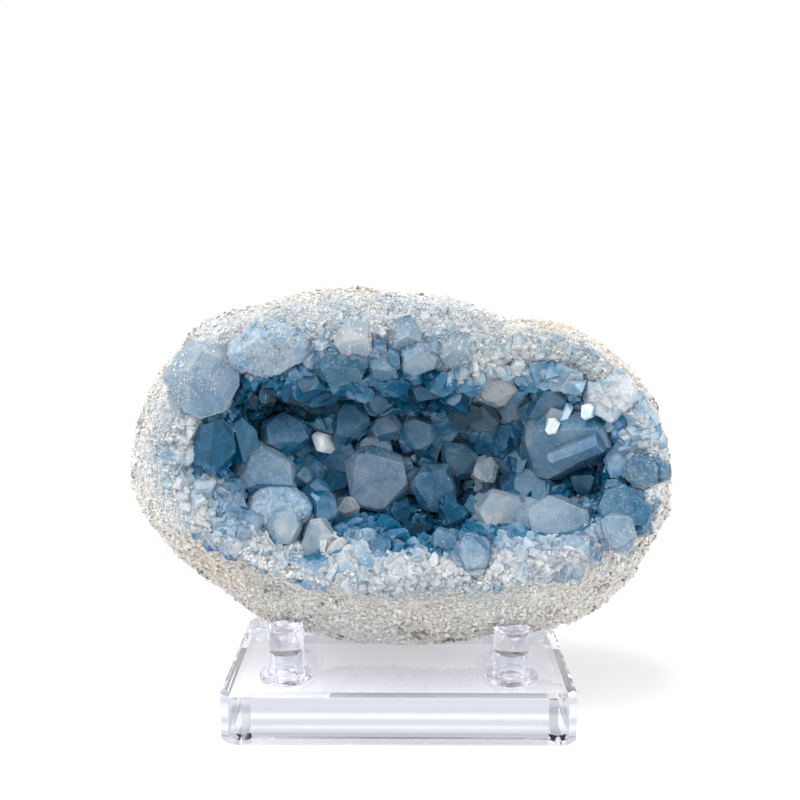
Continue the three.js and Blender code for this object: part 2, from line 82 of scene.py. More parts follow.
# Single crystals: name, tip, half width and height, length, yaw, pitch, roll, flatness of the end,
# then the finish: depth of blue, frost on the faces, and how greenish-cream it is. The depth of blue
# is partly each crystal's own colour and partly painted shade, deepest for those in dark pockets.
CRYSTALS = [
    ("left_overhang", (-43.5, -28, 139.5), (14.5, 9), 8, 20, -30, 8, 0.74, 0.22, 0.95, 0),
    ("left_pale_block", (-64, -32, 130.5), (12, 14), 10, 30, -5, 20, 0.68, 0.27, 0.35, 0),
    ("left_steel_block", (-61, -32.5, 109), (6.5, 10.5), 12, 42, 5, -8, 0.6, 0.78, 0.05, 0),
    ("left_teal_post", (-54, -21.5, 108.5), (5, 11), 12, 35, 0, 5, 0.64, 0.75, 0.05, 0),
    ("left_pocket_block", (-48.5, -9, 121.5), (4, 4), 8, 20, -10, 30, 0.6, 1, 0, 0),
    ("left_arch", (-41.5, -13.5, 111.5), (9.5, 7), 20, 10, 30, 0, 0.68, 0.58, 0.15, 0),
    ("left_large_blue", (-48, -22, 99.5), (12, 9), 22, 12, 20, -20, 0.64, 0.48, 0.3, 0),
    ("bright_facet", (-30, -7, 106), (2.3, 4), 20, -18, 15, 22, 0.6, -0.25, 0, 0),
    ("centre_octagon", (-8.5, -6, 91.5), (12, 13.5), 20, 3, 5, 12, 0.74, 0.43, 0.3, 0),
    ("centre_right_block", (13.5, -7.5, 88), (8.5, 9.5), 20, 6, 6, 25, 0.68, 0.55, 0.2, 0),
    ("centre_back_slab", (22.5, 0.5, 97.5), (7, 9), 14, -6, 12, -12, 0.64, 0.6, 0.15, 0.3),
    ("small_pebble", (32, -8, 95.5), (5, 4.5), 20, -6, 18, 40, 0.74, 0.24, 0.5, 0.2),
    ("lower_pale_octagon", (37, -16, 82.5), (10.5, 7.5), 13, -8, 24, 8, 0.74, 0.22, 0.3, 0),
    ("right_great_block", (56.5, -20, 105.5), (19, 13), 16, -24, -14, 27, 0.58, 0.46, 0.2, 0.1),
    ("right_great_shoulder", (57, -20, 116), (9, 6), 18, -18, 15, 10, 0.52, 0.14, 0.25, 0),
    ("right_long_prism", (54.5, -19.5, 101.5), (3.2, 3.6), 20, -121, -26, 12, 0.6, 0.42, 0.2, 0.1),
    ("right_glint_inner", (54, -22, 114.5), (2.3, 3.3), 6, -20, 10, -14, 0.6, 0.09, 0, 0),
    ("right_glint_outer", (59, -21, 118.5), (1.3, 4.2), 6, -14, -4, -24, 0.6, 0.32, 0, 0),
    ("right_bright_corner", (64.5, -28.5, 120.5), (2, 2.8), 6, -30, 0, -8, 0.6, 0.14, 0, 0),
    ("right_plate_inner", (43, -9, 119), (4.5, 9), 10, 5, -30, -14, 0.68, 0.38, 0.1, 0.1),
    ("right_plate_outer", (52.5, -17.5, 120), (6, 10), 9, -6, -30, -28, 0.68, 0.58, 0.1, 0.3),
    ("right_white_lump", (72, -28.5, 126), (9.5, 8), 6, -25, 0, 15, 0.68, 0.05, 0.95, 0.2),
    ("top_hanging_block", (-19.5, -28.5, 133), (9, 6.5), 12, 0, -38, 8, 0.64, 0.66, 0.2, 0.3),
    ("top_pale_block", (-15, -30.5, 141.5), (6.5, 7), 10, 0, -30, 20, 0.68, 0.1, 0.4, 0),
    ("top_wedge", (-6, -29, 133.5), (5.5, 6), 11, 0, -35, 5, 0.46, 0.5, 0.15, 0.1),
    ("top_rhomb", (3, -27.5, 143.5), (5, 5), 10, 0, -30, 42, 0.74, 0.41, 0.15, 0),
    ("top_pale_shelf", (7, -29, 137), (7.5, 5), 11, 3, -30, -5, 0.68, 0.4, 0.3, 0),
    ("top_grey_block", (19.5, -28.5, 139), (6, 5), 10, 0, -30, 15, 0.68, 0.34, 0.3, 0.3),
    ("inner_dark_wedge", (9, -21, 125.5), (7, 5), 9, 6, -24, 0, 0.46, 0.9, 0, 0),
    ("inner_brown_block", (24.5, -4.5, 115.5), (7, 7.5), 12, -6, -24, 12, 0.6, 0.87, 0.1, 0.6),
    ("inner_green_block", (31, -4, 113), (6, 7), 12, -8, -20, -10, 0.6, 0.61, 0.1, 0.8),
    ("upper_cream_block", (34, -20.5, 126.5), (7.5, 6.5), 8, 0, -30, 20, 0.64, -0.06, 0.4, 0.35),
    ("inner_left_block", (-18.5, -4, 114), (7.5, 7.5), 16, 0, 10, 15, 0.6, 0.62, 0.1, 0),
    ("inner_middle_block", (-5, -2.5, 111.5), (6.5, 5), 16, 0, 18, -20, 0.6, 0.49, 0.1, 0),
    ("inner_right_block", (7.5, -2, 108.5), (7, 7), 16, 6, 12, 30, 0.6, 0.55, 0.1, 0),
    ("inner_upper_block", (-7, -5.5, 119.5), (5.5, 4.5), 11, 0, -10, 10, 0.6, 0.68, 0.05, 0),
    ("lower_left_frosted", (-42.5, -25, 86), (12.5, 9), 17, 6, 24, -10, 0.74, 0.28, 0.8, 0),
    ("lower_left_glassy", (-40, -29.5, 80), (6, 6.5), 13, 12, 18, 25, 0.68, 0.26, 0.3, 0),
    ("lower_left_long", (-29, -28.5, 74.5), (4.5, 9.5), 13, 14, 12, -24, 0.68, 0.14, 0.15, 0),
    ("lower_left_facet", (-26.5, -22.5, 84.5), (5, 8), 14, 18, 12, 10, 0.52, 0.6, 0.1, 0),
    ("lower_shard", (-19.5, -10.5, 82), (5, 4), 16, 0, 20, -25, 0.46, 0.1, 0.05, 0),
    ("lower_blue_wedge", (19.5, -14.5, 80.5), (5.5, 6), 14, -5, 15, 20, 0.46, 0.7, 0.05, 0),
    ("lower_dark_block", (1, -12.5, 80), (4.5, 4.5), 13, 0, 15, 35, 0.6, 0.8, 0, 0),
    ("lower_dark_wedge", (7, -24.5, 78), (6, 4), 12, 5, 25, -5, 0.46, 0.92, 0, 0),
    ("right_cloudy_block", (56, -28, 82.5), (13.5, 8), 11, -12, 30, 6, 0.74, 0.34, 0.4, 0),
    ("right_blue_block", (75, -38.5, 90), (10, 7), 11, -30, 18, -12, 0.64, 0.66, 0.3, 0),
    ("right_frosted_block", (73.5, -43, 83), (6, 6), 8, -18, 24, 20, 0.74, 0.32, 0.5, 0),
    ("right_dark_block", (66, -19, 93), (6, 5), 10, -30, 0, 30, 0.6, 0.9, 0, 0),
    ("right_edge_block", (82.5, -34.5, 101), (7, 5.5), 6, -38, 6, 0, 0.68, 0.56, 0.45, 0.2),
    ("rim_middle_block", (16, -34, 76), (5.5, 5), 8, 0, 30, 15, 0.64, 0.49, 0.3, 0),
    ("rim_white_blue", (25.5, -42, 74), (6.5, 6), 8, 0, 30, -15, 0.68, 0.43, 0.4, 0),
    ("rim_left_block", (-6, -35, 74.5), (5, 4.5), 8, 0, 30, 20, 0.64, 0.66, 0.3, 0),
    ("rim_corner_block", (-23.5, -28.5, 73), (6, 5), 10, 8, 28, 0, 0.64, -0.05, 0.8, 0),
]
# From this much frost a crystal is a soft, coated block. The others have smaller ones beside them
# and a border of this width along their edges, which carries a painted highlight.
FROSTED, SATELLITES, BORDER = 0.75, 4, 0.55
# The four small pale crystals that stand for facets mirroring a lamp: painted highlights.
PAINTED_GLINTS = ("bright_facet", "right_glint_inner", "right_glint_outer", "right_bright_corner")
# Painted shade: dark pools of the hollow where shade falls under the overhangs (middle x and z,
# half width and height, how much deeper), and its one earthy patch.
SHADE_POOLS = [
    (-47.5, 121, 11, 9, 0.8),
    (-34, 124, 13, 7, 0.5),
    (9, 127.5, 13, 6, 0.4),
    (46, 102, 5, 6, 0.24),
    (69, 93, 14, 7, 0.45),
    (7.5, 77.5, 14, 8, 0.3),
    (-58, 104, 8, 12, 0.35),
]
EARTHY = (32, 121, 13, 10)
# How far a crystal's faces stray from an even block.
SIDE_TURN, SIDE_LOSS, CAP_TURN, CAP_TILT, CAP_SPREAD, END_LEAN = 0.28, 0.12, 0.4, 0.75, 0.35, 0.12
# Celestite's colour from the palest depth of blue to the deepest.
BLUES = (
    (0.0, "f2f6fa"),
    (0.05, "d2e1ed"),
    (0.14, "c0d6e6"),
    (0.3, "9abbd6"),
    (0.48, "649bc1"),
    (0.64, "2a7da7"),
    (0.78, "076b93"),
    (0.9, "034c6b"),
    (1.0, "012e42"),
)
# What a piece stands for: its node and its material slot.
ROCK, CRUST = ("geode_rock", "rind"), ("crystal_crust", "celestite")
# Sugar, lightness and warmth of the stone that stays hidden.
HIDDEN_MARK = [0.5, 0.5, 0.3]
# How many small crystals and grains each piece has, and how many shapes of crystal there are.
WALL_COUNT, RIM_COUNT, RIND_COUNT, WALL_SHAPES = 4900, 8400, 15500, 24
LIGHT_BOUNCES = 24


# ---------------- numbers and noise
def chance(n):
    """A repeatable number from 0 to 1: the fractional part of a large multiple of the sine of n."""
    wave = np.sin(np.asarray(n, float) * 127.1 + 11.7) * 43758.5453
    return wave - np.floor(wave)


def cell_chance(cell, seed):
    """A repeatable number from 0 to 1 for each cell of a lattice: its three indices times large
    odd numbers, mixed bit by bit."""
    bits = np.uint32(seed * 2654435761 & 0xFFFFFFFF)
    for axis, odd in enumerate((73856093, 19349663, 83492791)):
        bits = bits ^ cell[..., axis].astype(np.int64).astype(np.uint32) * np.uint32(odd)
    for odd, shift in ((2246822519, 15), (3266489917, 13)):
        bits = (bits ^ bits >> np.uint32(shift)) * np.uint32(odd)
    return ((bits ^ bits >> np.uint32(16)) & np.uint32(0xFFFFFF)) / float(0xFFFFFF)


def swell(points, size, seed):
    """Smooth waves from -1 to 1: the eight corners of each cell have a number each, blended by
    eased distances."""
    spot = points / size
    cell = np.floor(spot)
    part = spot - cell
    part = part * part * (3 - 2 * part)
    total = np.zeros(points.shape[:-1])
    for corner in np.ndindex(2, 2, 2):
        weight = np.prod(np.where(np.array(corner), part, 1 - part), axis=-1)
        total += weight * cell_chance(cell + corner, seed)
    return 2 * total - 1


def chips(points, size, seed, tilt=1.0):
    """Broken, faceted relief from about -1 to 1: every point takes the height of a tilted plane
    through its nearest scattered seed."""
    spot = points / size
    cell = np.floor(spot)
    nearest = np.full(points.shape[:-1], 1e9)
    height = np.zeros_like(nearest)
    for corner in np.ndindex(3, 3, 3):
        here = cell + corner - 1
        seedling = here + np.stack([cell_chance(here, seed + k) for k in (1, 2, 3)], -1)
        away = spot - seedling
        distance = np.sum(away * away, axis=-1)
        closer = distance < nearest
        nearest = np.where(closer, distance, nearest)
        lean = np.stack([cell_chance(here, seed + k) - 0.5 for k in (4, 5, 6)], -1)
        plane = 2 * tilt * np.sum(lean * away, axis=-1) + cell_chance(here, seed + 7) - 0.5
        height = np.where(closer, plane, height)
    return height


def ramp(value, low, high):
    """0 below low, 1 above high, eased between."""
    t = np.clip((value - low) / (high - low), 0, 1)
    return t * t * (3 - 2 * t)


def unit(vectors):
    """Vectors of the same directions with length one."""
    return vectors / np.linalg.norm(vectors, axis=-1, keepdims=True)


# ---------------- the nodule's surface
def blend(a, b, c, d, f):
    """Catmull-Rom blend of four values."""
    bend, curl = 2 * a - 5 * b + 4 * c - d, 3 * b - a - 3 * c + d
    return 0.5 * (2 * b + (c - a) * f + bend * f * f + curl * f**3)


def radius_at(radii, angle):
    """Radius at each angle from radii spaced evenly round the turn, blended smoothly."""
    radii = np.asarray(radii, float)
    count = len(radii)
    place = (angle / TURN * count) % count
    i = np.floor(place).astype(int)
    return blend(*(radii[(i + step) % count] for step in (-1, 0, 1, 2)), place - i)


def face_depth(z):
    """Depth of the leaning plane of the broken face at a height."""
    return FACE["depth"] + FACE["lean"] * (z - NODULE["z"])


def profile_at(angle):
    """Thirteen radius and depth pairs at each angle: rear pole, widest, lip, crest, mouth, hollow
    wall and floor."""
    up, level = np.sin(angle), np.zeros_like(angle)
    outer, mouth = radius_at(OUTLINE, angle), radius_at(MOUTH, angle)
    lip = np.minimum(radius_at(LIP, angle), 0.97 * outer)
    crest = (lip + mouth) / 2
    rear, middle = NODULE["rear"], NODULE["z"]
    widest = NODULE["widest"] + NODULE["tilt"] * up
    lip_depth = face_depth(middle + lip * up)
    pairs = [
        (level, rear + level),
        (0.44 * outer, rear - 4 + level),
        (0.77 * outer, rear - 15 + level),
        (0.945 * outer, widest + 0.36 * (rear - widest)),
        (outer, widest),
        (np.minimum((outer + lip) / 2 + 0.06 * outer, outer), (widest + lip_depth) / 2 - 1),
        (lip, lip_depth),
        (crest, face_depth(middle + crest * up) - FACE["crest"]),
        (mouth, face_depth(middle + mouth * up) - FACE["mouth"]),
        (0.88 * mouth, HOLLOW["shoulder"] + level),
        (0.7 * mouth, HOLLOW["foot"] + level),
        (0.38 * mouth, HOLLOW["floor"] - 3 + level),
        (level, HOLLOW["floor"] + level),
    ]
    return np.array([np.stack(pair, -1) for pair in pairs])


def seat_height(x, y):
    """Lowest the underside may be: flat above a peg's tip, then falling away from it."""
    away = np.hypot(np.abs(x) - PEG["x"], np.abs(y) - PEG["y"])
    return PEG_TOP + SEAT["gap"] - SEAT["slope"] * np.maximum(0, away - SEAT["flat"])


def lifted(points, place, least):
    """Points with those of the underside raised to the least height that is given for them."""
    under = (place < LIP_PLACE) & (points[..., 2] < NODULE["z"])
    points[..., 2] = np.where(under, np.maximum(points[..., 2], least), points[..., 2])
    return points


def nodule(angle, place):
    """Points of the rock: the profile is blended along place, turned to its angle, and pushed out
    by broad lumps."""
    angle, place = np.broadcast_arrays(np.asarray(angle, float), np.asarray(place, float))
    knots = profile_at(angle)
    knots = np.concatenate([[2 * knots[0] - knots[1]], knots, [2 * knots[-1] - knots[-2]]])
    i = np.clip(np.floor(place).astype(int), 0, LAST_PLACE - 1)
    four = (np.take_along_axis(knots, (i + step)[None, ..., None], axis=0)[0] for step in range(4))
    radius, depth = np.moveaxis(blend(*four, (place - i)[..., None]), -1, 0)
    x = NODULE["x"] + radius * np.cos(angle)
    z = NODULE["z"] + radius * np.sin(angle)
    behind = np.clip(0.3 + (depth + 5) / 40, 0.3, 1.3)
    lump = behind * sum(h * np.sin(a * x + b * depth + c * z + p) for a, b, c, p, h in LUMPS)
    x = NODULE["x"] + (x - NODULE["x"]) * (1 + lump / 75)
    z = NODULE["z"] + (z - NODULE["z"]) * (1 + lump / 75)
    return lifted(np.stack([x, depth, z], -1), place, seat_height(x, depth))


def outward(angle, place):
    """The rock's normal at each angle and place: the cross product of small steps round and
    along."""
    step = 0.01
    round_step = nodule(angle + step, place) - nodule(angle - step, place)
    ahead, behind = np.minimum(place + step, LAST_PLACE), np.maximum(place - step, 0)
    normal = np.cross(round_step, nodule(angle, ahead) - nodule(angle, behind))
    length = np.linalg.norm(normal, axis=-1, keepdims=True)
    pole = np.where((np.asarray(place) > LIP_PLACE)[..., None], [0.0, -1.0, 0.0], [0.0, 1.0, 0.0])
    return np.where(length > 1e-6, normal / np.maximum(length, 1e-9), pole)


# ---------------- meshes from arrays
def grid(places, around):
    """Angle and place on a grid: a row for each place, its columns evenly spaced round the turn."""
    return np.meshgrid(np.linspace(0, TURN, around, endpoint=False), places)


def ribbon_faces(rows, columns, closed_rows=False):
    """Quads of a grid whose columns run round and meet; closed_rows also joins the last row to
    the first."""
    row = np.arange(rows if closed_rows else rows - 1)[:, None]
    column = np.arange(columns)[None, :]
    here, ahead, beside = row * columns, (row + 1) % rows * columns, (column + 1) % columns
    quads = [here + column, here + beside, ahead + beside, ahead + column]
    return np.stack(quads, -1).reshape(-1, 4)


def pole_faces(ring, pole):
    """Triangles from a ring of points to a pole, against the ring's order, as the ribbon's last
    row needs them."""
    return np.stack([np.roll(ring, -1), np.full_like(ring, pole), ring], -1)


def skin_faces(rows, around):
    """Faces of a closed skin whose points are a pole, a grid of rows that run round, and a pole."""
    ring, last = 1 + np.arange(around), 1 + rows * around
    start, end = pole_faces(ring, 0)[:, ::-1], pole_faces((rows - 1) * around + ring, last)
    return [1 + ribbon_faces(rows, around), start, end]


def linked(name, data):
    """A new object in the scene, at the origin."""
    made = bpy.data.objects.new(name, data)
    bpy.context.scene.collection.objects.link(made)
    return made


def make_piece(name, points, faces, material, home, marks=None, smooth=False, faceted=False):
    """A piece of the object: points in millimetres, faces as arrays of equal-sided polygons, a
    colour mark for each point and, where faceted, a tone from -1 to 1 for each face."""
    mesh = bpy.data.meshes.new(name)
    corners = np.concatenate([np.asarray(block).ravel() for block in faces]).astype(np.int32)
    sides = np.concatenate([np.full(len(block), np.shape(block)[1]) for block in faces])
    starts = np.concatenate([[0], np.cumsum(sides)[:-1]]).astype(np.int32)
    mesh.vertices.add(len(points))
    place = (points / 1000 + STAND_MIDDLE).astype(np.float32)
    mesh.vertices.foreach_set("co", place.ravel())
    mesh.loops.add(len(corners))
    mesh.loops.foreach_set("vertex_index", corners)
    mesh.polygons.add(len(sides))
    mesh.polygons.foreach_set("loop_start", starts)
    mesh.polygons.foreach_set("use_smooth", np.full(len(sides), smooth))
    if marks is not None:
        stain = mesh.attributes.new("stain", "FLOAT_COLOR", "POINT")
        edges = np.zeros((len(points), 4 - marks.shape[1]))
        marks = np.column_stack([marks, edges]).astype(np.float32)
        stain.data.foreach_set("color", marks.ravel())
    if faceted:
        facet = mesh.attributes.new("facet", "FLOAT", "FACE")
        tones = 2 * chance(np.arange(len(sides))) - 1
        facet.data.foreach_set("value", tones.astype(np.float32))
    mesh.update(calc_edges=True)
    mesh.materials.append(material)
    piece = linked(name, mesh)
    node, slot = home
    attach(piece, "root")
    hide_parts(node)
    return piece


# ---------------- shader helpers
def shade(value):
    """Linear red, green, blue and alpha from a six-digit sRGB code."""
    levels = [int(value[k : k + 2], 16) / 255 for k in (0, 2, 4)]
    linear = [c / 12.92 if c <= 0.04045 else ((c + 0.055) / 1.055) ** 2.4 for c in levels]
    return (*linear, 1.0)


def fill(tree, node, inputs):
    """A node with its inputs given values or joined to other nodes' sockets."""
    for key, value in inputs.items():
        if isinstance(value, bpy.types.NodeSocket):
            tree.links.new(value, node.inputs[key])
        else:
            node.inputs[key].default_value = value
    return node


def add(tree, kind, inputs=None, **settings):
    """A shader node with its settings and its inputs."""
    node = tree.nodes.new("ShaderNode" + kind)
    for key, value in settings.items():
        setattr(node, key, value)
    return fill(tree, node, inputs or {})


def mixed(tree, factor, a, b, how="MIX"):
    """Colour a changed towards colour b by a factor."""
    return add(tree, "Mix", {0: factor, 6: a, 7: b}, data_type="RGBA", blend_type=how).outputs[2]


def eased(tree, value, low, high, to_low=0.0, to_high=1.0):
    """A value carried from one range to another with eased ends."""
    ends = {"Value": value, "From Min": low, "From Max": high, "To Min": to_low, "To Max": to_high}
    return add(tree, "MapRange", ends, interpolation_type="SMOOTHSTEP").outputs[0]


def coated(tree, colour, *coats):
    """A colour under coats of others: each coat shows where its value rises from low to high, at
    most by its strength."""
    for value, low, high, strength, code in coats:
        colour = mixed(tree, eased(tree, value, low, high, 0.0, strength), colour, shade(code))
    return colour


def reckon(tree, how, a, b=0.0):
    """One sum of two values."""
    return add(tree, "Math", {0: a, 1: b}, operation=how).outputs[0]


def times(tree, a, b):
    """The product of two values."""
    return reckon(tree, "MULTIPLY", a, b)


def plus(tree, total, *values):
    """A value with others added one by one."""
    for value in values:
        total = reckon(tree, "ADD", total, value)
    return total


def noise(tree, spot, scale, detail=2.0, roughness=0.5, distortion=0.0):
    """Cloudy noise from 0 to 1."""
    inputs = {"Vector": spot, "Scale": scale, "Detail": detail, "Roughness": roughness}
    return add(tree, "TexNoise", {**inputs, "Distortion": distortion}).outputs[0]


def cells(tree, spot, scale, feature="F1"):
    """Angular cells: the distance from their seeds, or from their edges, and a colour for each."""
    return add(tree, "TexVoronoi", {"Vector": spot, "Scale": scale}, feature=feature).outputs


def parts(tree, colour):
    """The red, green and blue of a colour."""
    return add(tree, "SeparateColor", {"Color": colour}).outputs


def along(tree, vector, axis):
    """One axis of a vector."""
    return add(tree, "SeparateXYZ", {"Vector": vector}).outputs[axis]


def bump(tree, height, strength, distance, **under):
    """A normal tilted by a height, over another where Normal is given."""
    inputs = {"Height": height, "Strength": strength, "Distance": distance, **under}
    return add(tree, "Bump", inputs).outputs[0]


def attribute(tree, name):
    """What a mesh attribute gives."""
    return add(tree, "Attribute", attribute_name=name).outputs


def group(name, **inputs):
    """A new shader group and what it is given: numbers with a value, and vectors without one."""
    tree = bpy.data.node_groups.new(name, "ShaderNodeTree")
    for key, value in inputs.items():
        kind = "NodeSocketVector" if value is None else "NodeSocketFloat"
        socket = tree.interface.new_socket(key, in_out="INPUT", socket_type=kind)
        if value is not None:
            socket.default_value = value
    return tree, tree.nodes.new("NodeGroupInput").outputs


def finished(tree, **outputs):
    """The shader group with the numbers that it puts out."""
    for key in outputs:
        tree.interface.new_socket(key, in_out="OUTPUT", socket_type="NodeSocketFloat")
    made = tree.nodes.new("NodeGroupOutput").inputs
    for key, value in outputs.items():
        tree.links.new(value, made[key])
    return tree


def use(tree, kind, **inputs):
    """A shader group placed in a material, with its inputs set."""
    return fill(tree, add(tree, "Group", node_tree=kind), inputs).outputs


def start_material(name):
    """A new material with its tree, its Principled shader and object coordinates in
    millimetres."""
    material = bpy.data.materials.new(name)
    material.use_nodes = True
    tree = material.node_tree
    tree.nodes.clear()
    principled = add(tree, "BsdfPrincipled")
    output = add(tree, "OutputMaterial", {"Surface": principled.outputs[0]})
    spot = add(tree, "TexCoord").outputs["Object"]
    spot = add(tree, "Mapping", {"Vector": spot, "Scale": (1000, 1000, 1000)}).outputs[0]
    return material, tree, principled, output, spot


def put(tree, principled, **inputs):
    """Sets the Principled shader's sockets by name, underscores standing for spaces."""
    fill(tree, principled, {key.replace("_", " "): value for key, value in inputs.items()})


def milky(tree, principled, weight, radius, scale):
    """Lets a share of the light spread inside the stone: redder or bluer by its three radii."""
    put(tree, principled, Subsurface_Weight=weight, Subsurface_Radius=radius)
    put(tree, principled, Subsurface_Scale=scale)


# ---------------- shared effects
def make_grit():
    """Mineral grit: grains of one size with a tone each, dark specks among them, patches, and a
    height."""
    tree, given = group("mineral_grit", Spot=None, Grain=1.2)
    spot, fineness = given["Spot"], reckon(tree, "DIVIDE", 1.0, given["Grain"])
    grains = cells(tree, spot, fineness)
    darkness, lift, tone = parts(tree, grains["Color"])
    fine = noise(tree, spot, times(tree, fineness, 2.6), 3.0, 0.65)
    specks = times(tree, eased(tree, darkness, 0.80, 0.9), eased(tree, fine, 0.42, 0.6))
    height = plus(tree, times(tree, lift, 0.5), fine)
    height = reckon(tree, "SUBTRACT", height, times(tree, grains["Distance"], 0.9))
    patches = noise(tree, spot, 0.11, 3.0, 0.55)
    return finished(tree, Tone=tone, Specks=specks, Patches=patches, Height=height)


def make_veils():
    """Inside of a crystal: soft clouds, straight-edged zones of growth, thin pale veils along
    healed cracks, and fine steps as a height."""
    tree, given = group("crystal_veils", Spot=None)
    spot = given["Spot"]
    zone, small = (parts(tree, cells(tree, spot, scale)["Color"])[0] for scale in (0.15, 0.4))
    zones = plus(tree, times(tree, zone, 0.65), times(tree, small, 0.35))
    crack = eased(tree, cells(tree, spot, 0.17, "DISTANCE_TO_EDGE")["Distance"], 0.035, 0.0)
    veils = times(tree, crack, eased(tree, noise(tree, spot, 0.5), 0.5, 0.62))
    terrace = times(tree, cells(tree, spot, 0.55)["Distance"], 0.5)
    steps = plus(tree, terrace, noise(tree, spot, 1.7, 4.0, 0.6))
    clouds = noise(tree, spot, 0.16, 4.0, 0.6, 0.6)
    return finished(tree, Clouds=clouds, Zones=zones, Veils=veils, Steps=steps)


GRIT = make_grit()
VEILS = make_veils()


# ---------------- materials
def make_rind_stone():
    """Rind and rim: cream, tan and grey grit with dark specks, turning to white and pale-blue
    sugar where the mark's red is high."""
    material, tree, principled, _, spot = start_material("rind_stone")
    sugar, light, warm = parts(tree, attribute(tree, "stain")["Color"])
    tone, specks, patches, height = use(tree, GRIT, Spot=spot, Grain=1.15)
    fine_tone, fine_specks, _, fine_height = use(tree, GRIT, Spot=spot, Grain=0.45)
    cream = coated(
        tree,
        shade("f6f1e8"),
        (patches, 0.35, 0.65, 1.0, "e4dccf"),
        (warm, 0.3, 1.0, 0.7, "d6bf9c"),
        (tone, 0.25, 0.95, 1.0, "f4f1ec"),
        (tone, 0.28, 0.02, 0.6, "a89e90"),
    )
    cream = mixed(tree, times(tree, specks, 0.8), cream, shade("7a7268"))
    cream = mixed(tree, times(tree, fine_specks, 0.5), cream, shade("98928a"))
    frost = coated(
        tree,
        shade("d4dde4"),
        (parts(tree, cells(tree, spot, 0.26)["Color"])[0], 0.15, 0.95, 1.0, "f2f4f5"),
        (tone, 0.4, 0.95, 0.6, "f3f5f6"),
        (light, 0.5, 0.2, 0.7, "c0cdd7"),
        (fine_tone, 0.8, 0.98, 0.4, "9cb3c7"),
        (warm, 0.4, 1.0, 0.6, "e3dac8"),
    )
    shadow = eased(tree, light, 0.0, 1.0, 0.15, 0.0)
    colour = mixed(tree, sugar, cream, frost)
    colour = mixed(tree, shadow, colour, shade("8a857d"), "MULTIPLY")
    relief = bump(tree, fine_height, 0.7, 0.0002, Normal=bump(tree, height, 1.0, 0.0009))
    rough = eased(tree, times(tree, sugar, fine_tone), 0.1, 0.9, 0.85, 0.35)
    put(tree, principled, Base_Color=colour, Roughness=rough, Normal=relief, IOR=1.5)
    milky(tree, principled, 0.35, (1.0, 0.95, 0.9), 0.001)
    return material


def make_sugar_grain():
    """Loose grains of the rim and rind: each takes its own tint from its mark, clear ones
    blue-white, earthy ones cream, a few dark."""
    material, tree, principled, _, spot = start_material("sugar_grain")
    sugar, light, warm = parts(tree, attribute(tree, "stain")["Color"])
    frost = coated(
        tree,
        shade("c2d0db"),
        (light, 0.0, 0.5, 1.0, "eaeff2"),
        (light, 0.5, 0.9, 1.0, "f6f7f7"),
        (warm, 0.5, 1.0, 0.6, "e6ddcd"),
    )
    earth = coated(
        tree,
        shade("6b645a"),
        (light, 0.0, 0.16, 1.0, "e0d8cc"),
        (light, 0.1, 0.6, 1.0, "f6f2eb"),
        (warm, 0.4, 1.0, 0.6, "dcc6a4"),
    )
    relief = bump(tree, use(tree, GRIT, Spot=spot, Grain=0.5)["Height"], 0.5, 0.0002)
    rough = eased(tree, times(tree, sugar, light), 0.1, 0.9, 0.6, 0.18)
    put(tree, principled, Base_Color=mixed(tree, sugar, earth, frost), Roughness=rough)
    put(tree, principled, Normal=relief, IOR=1.55, Transmission_Weight=0.2)
    milky(tree, principled, 0.6, (1.0, 0.95, 0.9), 0.0012)
    return material


